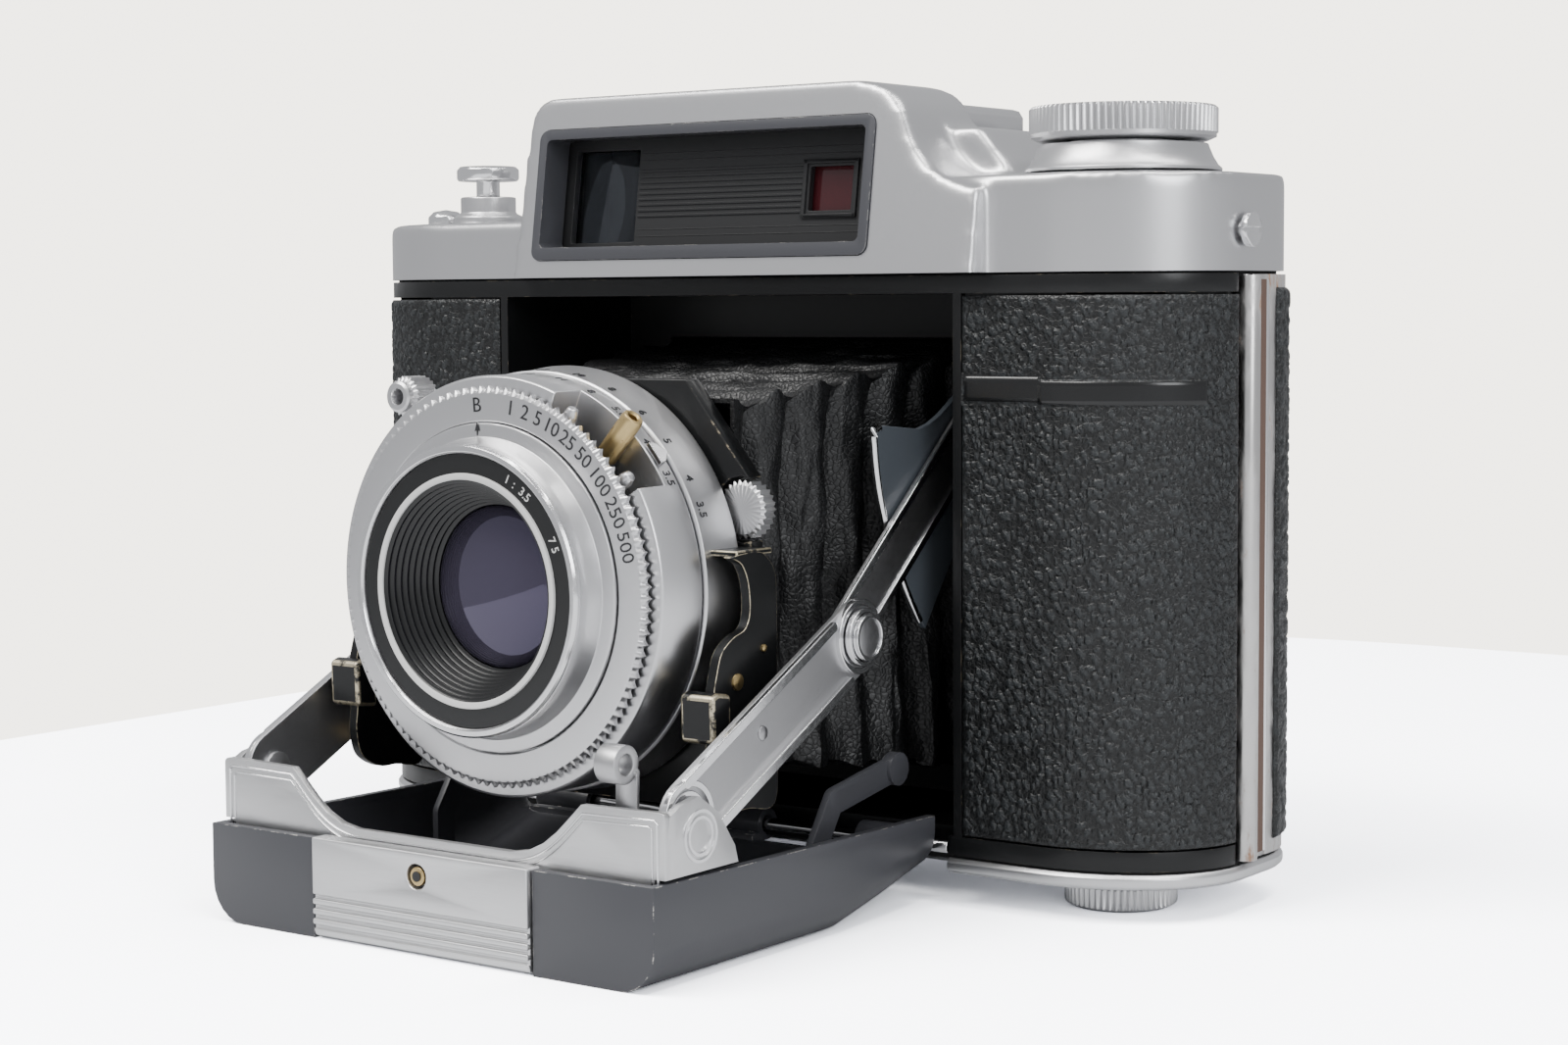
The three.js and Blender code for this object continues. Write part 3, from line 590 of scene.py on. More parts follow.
def on_band(radius, angle, y):
    """Wraps lettering round a ring's outside, its head towards +Y."""
    def place(v):
        a = math.radians(angle) - v.x / radius
        r = radius + v.z
        return Vector(AXIS) + Vector((r * math.cos(a), y + v.y, r * math.sin(a)))
    return place


def numerals(name, entries, material, body):
    bm = bmesh.new()
    for text, size, place in entries:
        gather(bm, lettering(text, size, 0.1), place)
    return piece(name, bm, material, body)


# Front: barrel, rim, ring, ribbed cone, glass.
piece("barrel", lathe([
    (13.5, -57.4), (13.5, -63.9), (16.0, -64.0), (16.1, -64.75), (16.35, -64.98), (16.9, -64.98),
    (17.12, -64.7), (17.12, -63.9), (17.0, -63.5), (17.2, -62.7), (17.5, -61.9), (17.8, -61.0),
    (18.4, -60.9), (19.3, -60.82), (19.45, -60.7), (19.45, -59.6), (15.5, -59.4), (15.5, -57.4),
], AXIS), "chrome", "standard", "lens_barrel", width_mm=0.12)
piece("barrel_rim", lathe([
    (16.05, -64.6), (16.3, -65.0), (16.9, -65.0), (17.2, -64.65), (17.2, -64.1), (16.6, -64.0),
], AXIS), "polished", "standard", width_mm=0.08)
piece("ring_face", lathe([(13.6, -64.0), (13.6, -64.5), (16.02, -64.5), (16.02, -64.0)], AXIS),
      "plastic", "standard", "name_ring", width_mm=0.05)
piece("ring_border", lathe([
    (12.95, -63.6), (13.0, -64.75), (13.2, -64.85), (13.75, -64.85), (13.8, -64.4), (13.6, -63.6),
], AXIS), "white", "standard", width_mm=0.05)
numerals("lens_numerals", [
    (text, 1.5, on_face(14.85, angle, -64.5))
    for text, angle in (("1", 63), (":", 58.5), ("3.5", 51), ("7", 26), ("5", 21.5))
], "white", "standard")
ribs = [(13.3, -57.4), (13.3, -64.4), (12.95, -64.6)]
RIBS = 9
for k in range(RIBS):
    radius, along = 12.85 - 3.1 * k / RIBS, -64.5 + 6.6 * k / RIBS
    ribs += [(radius, along), (radius - 0.34, along + 0.12), (radius - 0.36, along + 0.42),
             (radius - 0.1, along + 0.5)]
ribs += [(9.55, -57.8), (9.5, -57.4)]
piece("lens_funnel", lathe(ribs, AXIS), "plastic", "standard", "lens_cone", width_mm=0.03)


def dome(radius, rim_y, bulge, steps=14):
    """Points of a cap of that radius, from its rim to the axis, standing bulge forward of the rim."""
    return [(radius * math.cos(t), rim_y - bulge * math.sin(t))
            for t in (0.5 * math.pi * k / steps for k in range(steps + 1))]


def element(name, material, radius, front, front_bulge, back, back_bulge, *replaced):
    profile = dome(radius, front, front_bulge) + list(reversed(dome(radius, back, back_bulge)))
    return piece(name, lathe(profile, AXIS, segments=96), material, "standard", *replaced)


element("front_element", "coated", 9.7, -58.2, 1.9, -57.0, 0.3, "front_lens")
# Middle, inner and back elements are opaque; their colour is painted shade of the lens's depth with painted
# reflection of the coating.
element("middle_element", "painted_shade_glass", 9.1, -55.6, 1.3, -55.0, 0.6)
element("inner_element", "painted_shade_glass", 6.2, -57.1, -0.4, -56.2, 0.3)
element("back_element", "painted_shade_glass", 8.8, -43.6, 1.0, -42.4, -0.2, "rear_lens")
blades = bmesh.new()
BLADES = 10
for k in range(BLADES):
    a = TAU * k / BLADES
    outline = []
    for u, v in ((3.6, -3.0), (3.6, 3.4), (11.5, 7.5), (13.2, 0.0), (11.5, -6.0)):
        outline.append((u * math.cos(a) - v * math.sin(a), LENS_Z + u * math.sin(a) + v * math.cos(a)))
    prism(outline, "y", -51.6 + 0.09 * k, -51.53 + 0.09 * k, blades)
piece("iris", blades, "plastic", "standard")
piece("lens_tube", lathe([
    (9.2, -57.2), (13.2, -57.2), (13.2, -43.0), (9.4, -43.0), (9.4, -50.4), (13.0, -50.6),
    (13.0, -51.9), (9.0, -52.0),
], AXIS, segments=96), "plastic", "standard", width_mm=0.04)

# Speed ring with its knurled edge and numerals.
SPEED_TEETH, SPEED_FACE = 112, -60.4
piece("speed_dial", lathe([
    (19.6, -59.4), (19.6, -60.3), (19.75, SPEED_FACE), (22.7, SPEED_FACE), (22.95, -60.36),
    (23.75, -59.95), (23.75, -59.4),
], AXIS, segments=SPEED_TEETH * 8, knurl=((5, 6), SPEED_TEETH, 0.6, 0.5)),
    "chrome", "speed_ring", "speed_ring")
SPEEDS = (("B", 94), ("1", 80), ("2", 74), ("5", 68.5), ("10", 62.5), ("25", 55), ("50", 47),
          ("100", 37.5), ("250", 26.5), ("500", 15.5))
numerals("speed_numerals", [(text, 2.5, on_face(21.5, angle, SPEED_FACE)) for text, angle in SPEEDS],
         "ink", "speed_ring")
arrow = bmesh.new()
tip = [(0, 0.75), (0.4, -0.3), (0.1, -0.2), (0.1, -0.9), (-0.1, -0.9), (-0.1, -0.2), (-0.4, -0.3)]
gather(arrow, prism(tip, "z", -0.05, 0.05), on_face(18.8, 93, -60.92))
piece("speed_index", arrow, "ink", "standard")

# Shutter band with the slot of the cocking pin, and the pointer of the aperture scale.
def arc_block(inner, outer, start, end, y0, y1, steps=24):
    """Curved block round the lens axis between two angles."""
    far, near = (arc_points(0, LENS_Z, r, r, start, end - start, steps) for r in (outer, inner))
    return prism(far + near[::-1], "y", y0, y1)


def at_angle(angle, y):
    """Stands a turned piece on the band: its z axis points outwards at angle."""
    a = math.radians(angle)
    outward, along = Vector((math.cos(a), 0, math.sin(a))), Vector((-math.sin(a), 0, math.cos(a)))
    return lambda v: Vector(AXIS) + v.z * outward + v.x * along + Vector((0, y + v.y, 0))


def placed(source, place):
    bm = bmesh.new()
    gather(bm, source, place)
    return bm


band = carve(lathe([
    (15.0, -44.7), (15.0, -56.8), (18, -56.9), (18, -59.0), (24.75, -59.0), (25, -58.7), (25, -51.8),
    (24.8, -51.6), (17, -51.6), (17, -44.7),
], AXIS, segments=192), arc_block(19.5, 26, 30, 68, -60, -54.3))
piece("shutter_band", band, "chrome", "standard", "shutter_body", width_mm=0.15, angle=40)
piece("slot_floor", arc_block(19.4, 20.2, 29, 69, -58.9, -54.2), "dull", "standard")
piece("slot_lever", arc_block(20.6, 23.4, 45, 52, -55.6, -54.8), "chrome", "cocking_pin", width_mm=0.1)
for k, angle in enumerate((62, 35)):
    radius = 0.9
    bead = lathe([(0, 20.2), (radius, 20.2), (radius, 23.2), (radius * 0.7, 24.0), (0, 24.3)],
                 (0, 0, 0), "z", 32)
    piece(f"slot_screw_{k + 1}", placed(bead, at_angle(angle, -58.0)), "chrome", "standard", width_mm=0.1)


pin = lathe([
    (0.0, 21.0), (1.35, 21.0), (1.35, 26.9), (1.2, 27.35), (0.85, 27.4), (0.6, 27.2), (0.55, 25.4),
    (0.0, 25.2),
], (0, 0, 0), "z", 40)
piece("cocking_stud", placed(pin, at_angle(48, -55.6)), "brass", "cocking_pin", "cocking_pin", width_mm=0.06)
marker = prism([(-1.5, -1.2), (1.5, -1.2), (1.4, -0.3), (0, 1.2), (-1.4, -0.3)], "z", 25.1, 25.8)
piece("aperture_marker", placed(marker, at_angle(39, -52.7)), "polished", "aperture_pointer",
      "aperture_pointer", width_mm=0.12)
STOPS = (("3.5", 32), ("4", 44), ("5.6", 56), ("8", 67), ("11", 78), ("16", 90), ("22", 102))
numerals("aperture_numerals", [(text, 1.75, on_band(25.0, angle, -53.0)) for text, angle in STOPS],
         "ink", "standard")

# Distance ring, its wheel, and the cable socket.
piece("distance_dial", lathe([
    (17.1, -45.1), (17.1, -51.4), (25.1, -51.4), (25.35, -51.2), (25.4, -49.0), (25.8, -45.8),
    (25.8, -45.3), (25.4, -45.1),
], AXIS, segments=192), "chrome", "distance_ring", "distance_ring", width_mm=0.08)
DISTANCES = (("3.5", 22), ("4", 31), ("5", 43), ("6", 54), ("8", 66), ("10", 78), ("15", 91), ("30", 104))
numerals("distance_numerals", [(text, 1.75, on_band(25.42, angle, -49.9)) for text, angle in DISTANCES],
         "ink", "distance_ring")
WHEEL, WHEEL_TEETH = (25.2, 0, 46.5), 26
piece("focus_thumbwheel", lathe([
    (0, -44.5), (2.9, -44.5), (3.5, -44.2), (3.5, -42.3), (2.9, -42.0), (0, -42.0),
], WHEEL, segments=WHEEL_TEETH * 6, knurl=((2, 3), WHEEL_TEETH, 0.38, 0.8)),
    "chrome", "focus_wheel", "focus_wheel")
SOCKET = (28.8 * math.cos(math.radians(130)), 0, LENS_Z + 28.8 * math.sin(math.radians(130)))
socket = lathe([
    (0, -50.7), (1.6, -50.7), (1.6, -51.2), (2.5, -51.4), (2.5, -54.7), (1.9, -55.0), (1.9, -55.8),
    (1.6, -56.0), (1.05, -56.0), (0.95, -55.8), (0.9, -52.6), (0, -52.2),
], SOCKET, segments=22 * 6, knurl=((3, 4), 22, 0.3, 0.8))
piece("release_socket", socket, "chrome", "standard", "cable_socket")
piece("socket_arm", prism([
    (-17.5, 57.6), (-19.8, 55.8), (SOCKET[0] - 0.5, SOCKET[2] - 1.5), (SOCKET[0] + 1.7, SOCKET[2] + 0.5),
], "y", -52.2, -50.9), "chrome", "standard", width_mm=0.15)


# ---------------------------------------------------------------- body
def body_outline(inset, steps=20):
    """The body from above: flat front, elliptical front corners, round rear corners."""
    half, front, rear, flat = 67.6 - inset, 16 - inset, 19 - inset, 48
    corner = 11 - inset
    points = []
    for cx, cy, rx, ry, start in (
            (flat, 0, half - flat, front, -90), (half - corner, rear - corner, corner, corner, 0),
            (corner - half, rear - corner, corner, corner, 90), (-flat, 0, half - flat, front, 180)):
        points += arc_points(cx, cy, rx, ry, start, steps=steps)
    return points


def clipped(bm, x0, x1):
    """Keeps what lies between two planes across x."""
    for x, normal in ((x0, (-1, 0, 0)), (x1, (1, 0, 0))):
        cut = bmesh.ops.bisect_plane(
            bm, geom=bm.verts[:] + bm.edges[:] + bm.faces[:], plane_co=(x, 0, 0), plane_no=normal,
            clear_outer=True)
        edges = [e for e in cut["geom_cut"] if isinstance(e, bmesh.types.BMEdge)]
        bmesh.ops.holes_fill(bm, edges=edges)
    return bm


def leaning(bm):
    for v in bm.verts:
        v.co.y += (v.co.z - 74) * 0.144
    return bm


def bezier(p0, p1, p2, p3, steps=10):
    return [tuple((1 - t) ** 3 * a + 3 * (1 - t) ** 2 * t * b + 3 * (1 - t) * t * t * c + t ** 3 * d
                  for a, b, c, d in zip(p0, p1, p2, p3)) for t in (k / steps for k in range(1, steps + 1))]


def flowing(name, solids, voxel, rounds, cutters, material, body, *replaced, **settings):
    """Solids melted into one skin, its inner corners filled and its edges rounded, then cut."""
    bm = bmesh.new()
    for solid in solids:
        bmesh.ops.recalc_face_normals(solid, faces=solid.faces)
        gather(bm, solid)
    obj = as_object("melt", bm)
    remesh = obj.modifiers.new("remesh", "REMESH")
    remesh.mode = "VOXEL"
    remesh.voxel_size = voxel
    smooth = obj.modifiers.new("smooth", "SMOOTH")
    smooth.factor = 0.5
    smooth.iterations = rounds
    return piece(name, carve(applied(obj), *cutters), material, body, *replaced, **settings)


ledge_right = clipped(prism(body_outline(0.1), "z", 68, 85.8), -12, 80)
ledge_left = clipped(prism(body_outline(0.1), "z", 68, 81.8), -80, -11)
housing = [(-32.4, 68), (41, 68), (41, 84.2)]
housing += bezier((41, 84.2), (35.5, 85), (32.2, 87.5), (30.8, 90.8))
housing += bezier((30.8, 90.8), (29.2, 94.8), (27.6, 98.0), (21, 98.0))
housing += [(-27, 98.0)] + bezier((-27, 98.0), (-30, 98.0), (-31.0, 96.5), (-31.2, 93.8), 6)
front_housing = leaning(prism(housing, "y", -19.4, -3))
rear_housing = prism(
    [(-30.2, 68), (41.7, 68), (41.7, 84), (34.7, 92.2), (-27, 92.2), (-30.2, 89)], "y", -8, 16.2)
window_hole = leaning(prism(rounded(-28.8, 25.7, 76.2, 93.8, 1.5), "y", -30, -13.9))
finder_hole = leaning(prism(rounded(-26.6, -14.9, 78.2, 91.3, 0.4), "y", -16, -6))
range_hole = leaning(prism(rounded(12.4, 19.8, 81.7, 88.1, 0.3), "y", -16, -9))
cover_cuts = [
    box((-90, -60, 50), (90, 60, 74)), window_hole, finder_hole, range_hole,
    lathe([(0, -8), (3.4, -8), (3.4, 30), (0, 30)], (-21, 0, 86.8), "y", 48),
    lathe([(0, 85.2), (8.7, 85.2), (8.7, 95), (0, 95)], (52, -2, 0), "z", 64),
    lathe([(0, 70), (3.5, 70), (3.5, 95), (0, 95)], (-53.5, 0, 0), "z", 48),
]
flowing("cover_shell", [ledge_right, ledge_left, front_housing, rear_housing], 0.55, 13, cover_cuts,
        "chrome", "body", "top_cover", angle=40)


def seam(name, z0, z1, inset):
    """Dark shadow line round the body between two covers."""
    outer, inner = body_outline(inset), body_outline(inset + 1.0)
    bm = bmesh.new()
    rings = [[bm.verts.new((x, y, z)) for x, y in outline]
             for outline, z in ((outer, z0), (outer, z1), (inner, z1), (inner, z0))]
    n = len(outer)
    for r in range(4):
        a, b = rings[r], rings[(r + 1) % 4]
        for k in range(n):
            bm.faces.new((a[k], a[(k + 1) % n], b[(k + 1) % n], b[k]))
    piece(name, bm, "dull", "body")


seam("top_seam", 73.4, 74.2, 1.0)
seam("bottom_seam", 1.7, 2.4, 0.6)


# Leather: a skin of small cells along a path round the body, embossed with a smooth band.
# The pebbles are drawn out along a line falling to the right.
GRAIN_COS, GRAIN_SIN, GRAIN_STRETCH = math.cos(math.radians(58)), math.sin(math.radians(58)), 1.7


def grain(place, size):
    """Height of the leather's pebbles at a place, 0 in the creases to 1 on top; size in mm."""
    along, z, seed = place
    lean, across = along * GRAIN_COS - z * GRAIN_SIN, along * GRAIN_SIN + z * GRAIN_COS
    p = Vector((lean / GRAIN_STRETCH, across, seed)) / size
    p += 0.45 * noise.noise_vector(p * 0.8)
    near, second = noise.voronoi(p)[0][:2]
    edge = min((second - near) / 0.42, 1.0)
    return edge * edge * (3 - 2 * edge)


def walk(points, step):
    """Even points along a polyline, with the outward normal at each; mm."""
    lengths = [0.0]
    for a, b in zip(points, points[1:]):
        lengths.append(lengths[-1] + (Vector(b) - Vector(a)).length)
    count = max(2, round(lengths[-1] / step))
    out, i = [], 0
    for k in range(count + 1):
        d = lengths[-1] * k / count
        while i < len(points) - 2 and lengths[i + 1] < d:
            i += 1
        a, b = Vector(points[i]), Vector(points[i + 1])
        t = (d - lengths[i]) / max(lengths[i + 1] - lengths[i], 1e-9)
        ahead = (b - a).normalized()
        out.append((a.lerp(b, t), Vector((ahead.y, -ahead.x)), d))
    return out, lengths[-1]


BAND_Z, BAND_STEP, BAND_END = (58.4, 61.4), 11.0, 31.5


def skin(name, path, z0, z1, step, thick, relief, size, body, replaced, banded=False, hole=None, side=1):
    """Leather sheet from z0 to z1 along a path seen from above, glued on the body's side."""
    stations, total = walk(path, step)
    rows = round((z1 - z0) / step)
    bm = bmesh.new()
    pit = bm.verts.layers.float.new("pit")
    grid, glossy = [], set()
    for place, normal, along in stations:
        column = []
        for r in range(rows + 1):
            z = z0 + (z1 - z0) * r / rows
            rim = min(along, total - along, z - z0, z1 - z)
            fade = min(rim / 0.7, 1.0)
            pebble = grain((along, z, side), size)
            height = thick * min(0.25 + rim / 0.5, 1.0) + relief * fade * (pebble - 0.6)
            if banded:
                low = BAND_Z[0] - (0.0 if along < BAND_STEP else 0.35)
                high = BAND_Z[1] - (0.0 if along < BAND_STEP else 0.35)
                inside = min(z - low, high - z, along - 0.4, BAND_END - along)
                if inside > 0:
                    height = thick + min(inside / 0.35, 1.0) * (0.10 if along < BAND_STEP else 0.18)
                elif inside > -0.5 and along < BAND_END:
                    height = thick - 0.12 * (1 + inside / 0.5)
            p = place + normal * height
            column.append(bm.verts.new((side * p.x, p.y, z)))
            column[-1][pit] = pebble
            if banded and inside > -0.1:
                glossy.add(column[-1])
        grid.append(column)
    for i in range(len(grid) - 1):
        for r in range(rows):
            corners = (grid[i][r], grid[i + 1][r], grid[i + 1][r + 1], grid[i][r + 1])
            bm.faces.new(corners).material_index = int(all(v in glossy for v in corners))
    if hole:
        centre, radius = hole
        gone = [v for v in bm.verts if v.co.y > 15 and (v.co - centre).xz.length < radius]
        bmesh.ops.delete(bm, geom=gone, context="VERTS")
    border = [e for e in bm.edges if e.is_boundary]
    rim = bmesh.ops.extrude_edge_only(bm, edges=border)["geom"]
    for v in (g for g in rim if isinstance(g, bmesh.types.BMVert)):
        v.co.x -= math.copysign(0.5, v.co.x) if abs(v.co.x) > 60 else 0
        v.co.y += 0.5 if v.co.y < -8 else (-0.5 if v.co.y > 12 else 0)
    sheet = piece(name, bm, "leather", body, replaced)
    if banded:
        sheet.data.materials.append(M["gloss"])


front_path = [(37.5, -15.75)] + [p for p in body_outline(0.25, 40) if p[0] > 47.9 and p[1] < -1.2]
for name, side in SIDES:
    skin(f"front_grain_{name}", front_path, 4.9, 71.2, 0.25, 0.35, 0.22, 0.84, "body",
         f"front_leather_{name}", banded=side > 0, side=side)
door_path = [p for p in body_outline(-0.1, 40) if p[1] > 7.2]
skin("door_grain", door_path, 4.0, 72.0, 0.38, 0.55, 0.22, 1.0, "door", "door_leather",
     hole=(Vector((-14, 0, 22)), 7.2))


# Windows: the sunk panel with its grooves, and the frame of the small window.
window_back = carve(
    prism(rounded(-28.6, 25.5, 76.4, 93.6, 1.2), "y", -14.6, -13.6),
    prism(rounded(-26.2, -15.3, 78.6, 90.9, 0.3), "y", -20, -10),
    prism(rounded(12.8, 19.4, 82.1, 87.7, 0.2), "y", -20, -10))
ridges = bmesh.new()
for k in range(9):
    z = 81.9 + 0.74 * k
    prism([(-14.9, z), (12.1, z), (12.1, z + 0.32), (-14.9, z + 0.32)], "y", -14.78, -14.5, ridges)
RANGE_FRAME = ((11.9, 20.3, 81.2, 81.7), (11.9, 20.3, 88.1, 88.6),
               (11.9, 12.4, 81.2, 88.6), (19.8, 20.3, 81.2, 88.6))
for x0, x1, z0, z1 in RANGE_FRAME:
    box((x0, -14.9, z0), (x1, -14.5, z1), ridges)
for z in (79.3, 80.2, 89.3, 90.2):
    prism([(-14.9, z), (24, z), (24, z + 0.12), (-14.9, z + 0.12)], "y", -14.66, -14.5, ridges)
gather(window_back, ridges)
piece("window_backing", leaning(window_back), "panel", "body", "window_panel", width_mm=0.06, segments=2)
piece("finder_chamber", leaning(carve(
    box((-26.5, -13.2, 78.3), (-15.0, -6.2, 91.2)), box((-26.1, -14, 78.7), (-15.4, -6.6, 90.8)))),
    "dull", "body")


# Knobs.
def knob(name, centre, radius, teeth, depth, z, top, material, body, replaced, dish):
    """Knurled knob from z to top with a chamfered foot; dish sinks its face."""
    profile = [(0, z), (radius - 1.2, z), (radius - 0.2, z + 0.45), (radius - 0.2, z + 0.9), (radius, z + 0.95),
               (radius, top - 0.3), (radius - 0.35, top)]
    profile += [(radius - 1.4, top), (radius - 1.9, top - dish), (0, top - dish)] if dish else [(0, top)]
    piece(name, lathe(profile, centre, "z", teeth * 8, ((4, 5), teeth, depth, 0.5)), material, body, replaced)


knob("winder_knurl", (52, -2, 0), 11.5, 84, 0.4, 89.8, 94.0, "chrome", "winder", "winding_knob", 0.5)
piece("winder_boss", lathe([(0, 93.5), (3.6, 93.5), (3.6, 93.8), (3.2, 93.95), (0, 93.95)], (52, -2, 0), "z", 64),
      "polished", "winder", width_mm=0.05)
piece("winder_stem", lathe([(0, 86.6), (6.6, 86.6), (6.6, 89.8), (0, 89.8)], (52, -2, 0), "z", 64),
      "chrome", "winder")
piece("winder_collar", lathe([
    (7.4, 84.2), (8.3, 84.2), (8.3, 86.1), (12.0, 86.1), (12.0, 86.45), (11.5, 86.9), (10.9, 87.9),
    (10.4, 89.1), (10.3, 89.45), (7.6, 89.45),
], (52, -2, 0), "z", 144), "chrome", "body", "knob_collar", width_mm=0.1)
for name, side in SIDES:
    flipped = lathe([
        (0, -4.2), (6.1, -4.2), (6.9, -3.8), (7.0, -3.6), (7.0, -1.4), (6.7, -1.3), (6.7, -0.9), (5.6, -0.5),
        (2.4, -0.5), (2.4, 4.7), (0, 4.7),
    ], (side * 52, -2, 0), "z", 54 * 8, ((3, 4), 54, 0.32, 0.5))
    piece(f"foot_knurl_{name}", flipped, "chrome", "body", f"foot_knob_{name}")


# ---------------------------------------------------------------- bellows
PLEATS, FRONT_Y, REAR_Y, FRONT_HALF, REAR_HALF = 7, -41.5, 10.6, 22.0, 28.4


def make_bellows():
    """Square tapered leather bellows: rounded pleats, creased across each side and sagging a little."""
    around, along = 168, 148
    bm = bmesh.new()
    rings = []
    for j in range(along + 1):
        t = j / along
        y = FRONT_Y + (REAR_Y - FRONT_Y) * t
        phase = t * PLEATS * TAU
        fold = 0.5 + 0.5 * math.cos(phase)
        fold = fold ** 0.75
        half = FRONT_HALF + (REAR_HALF - FRONT_HALF) * t
        ring = []
        for k in range(around):
            side, u = divmod(k / around * 4, 1)
            u = 2 * u - 1
            corner = abs(u) ** 3
            depth = (1 - fold) * (3.1 - 1.7 * corner)
            crease = Vector((u * 2.2 + side * 7.3, t * 17, side * 3.1))
            rumple = noise.noise(crease * 1.4) * 0.9 + noise.noise(crease * 3.7) * 0.45
            rumple += 0.5 * (abs(noise.noise(crease * 2.1 + Vector((5, 1, 2)))) - 0.2)
            ends = min(t / 0.04, (1 - t) / 0.04, 1.0)
            out = half - depth + rumple * ends * (0.9 - 0.5 * corner)
            out -= 0.35 * (1 - corner) * ends
            slant = y + ends * (0.8 * noise.noise(crease * 1.9 + Vector((9, 4, 7))) + 0.5 * u * math.sin(phase))
            reach = min(out, half + 0.15)
            v = u * (half - depth * 0.55 + 0.25 * rumple * ends)
            x, z = ((reach, v), (-v, reach), (-reach, -v), (v, -reach))[int(side)]
            ring.append(bm.verts.new((x, slant, LENS_Z + z)))
        rings.append(ring)
    for a, b in zip(rings, rings[1:]):
        for k in range(around):
            bm.faces.new((a[k], a[(k + 1) % around], b[(k + 1) % around], b[k]))
    bmesh.ops.smooth_vert(bm, verts=[v for v in bm.verts if not v.is_boundary], factor=0.35,
                          use_axis_x=True, use_axis_y=True, use_axis_z=True)
    inner = bmesh.ops.duplicate(bm, geom=bm.verts[:] + bm.edges[:] + bm.faces[:])
    copies = [g for g in inner["geom"] if isinstance(g, bmesh.types.BMVert)]
    for v in copies:
        v.co.x *= 0.975
        v.co.z = LENS_Z + (v.co.z - LENS_Z) * 0.975
    bmesh.ops.bridge_loops(bm, edges=[e for e in bm.edges if e.is_boundary and abs(e.verts[0].co.y - FRONT_Y) < 1.5])
    bmesh.ops.bridge_loops(bm, edges=[e for e in bm.edges if e.is_boundary])
    obj = piece("folded_bellows", bm, "bellows", "body", "bellows")
    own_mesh(obj)


make_bellows()


# ---------------------------------------------------------------- struts and standard
STRUT_RADIUS = 4.5
# Pressed rings round a strut's pivots: outer radius, inner radius, height.
MIDDLE_RINGS = ((STRUT_RADIUS, 3.75, 1.35), (3.5, 2.95, 2.1), (2.85, 2.3, 2.75))
FRONT_RINGS = ((STRUT_RADIUS, 3.7, 1.2), (3.3, 2.6, 0.95))
# Inner faces of the front and rear struts, and the two faces of the sector plate.
FRONT_LANE, REAR_LANE, SECTOR_LANE = 31.8, 30.4, (29.25, 30.05)
FRONT_PIVOT, MIDDLE_PIVOT, REAR_PIVOT = (-64.6, 13.8), (-31.4, 30.8), (2.0, 59.0)


def strip_frame(start, end, lane, side):
    """Places (u along, v across, w outwards) of a strut from start to end on its side's lane."""
    a, b = Vector(start), Vector(end)
    ahead = (b - a).normalized()
    up = Vector((-ahead.y, ahead.x))
    def place(v):
        p = a + v.x * ahead + v.y * up
        return Vector((side * (lane + v.z), p.x, p.y))
    return place, (b - a).length


def capsule(length, radius, steps=16):
    """Round-ended outline from u = 0 to u = length."""
    return (arc_points(0.0, 0, radius, radius, 90, 180, steps)
            + arc_points(length, 0, radius, radius, -90, 180, steps))


def on_side(side, y, z, scale=1.0):
    """Stands a turned piece on a side plate: its z axis points outwards at (y, z)."""
    return lambda v: Vector((side * v.z, y + v.x * scale, z + v.y * scale))


def round_strip(u0, u1, v, width, w0, w1):
    return prism(rounded(u0, u1, v - width / 2, v + width / 2, width * 0.4, 3), "z", w0, w1)


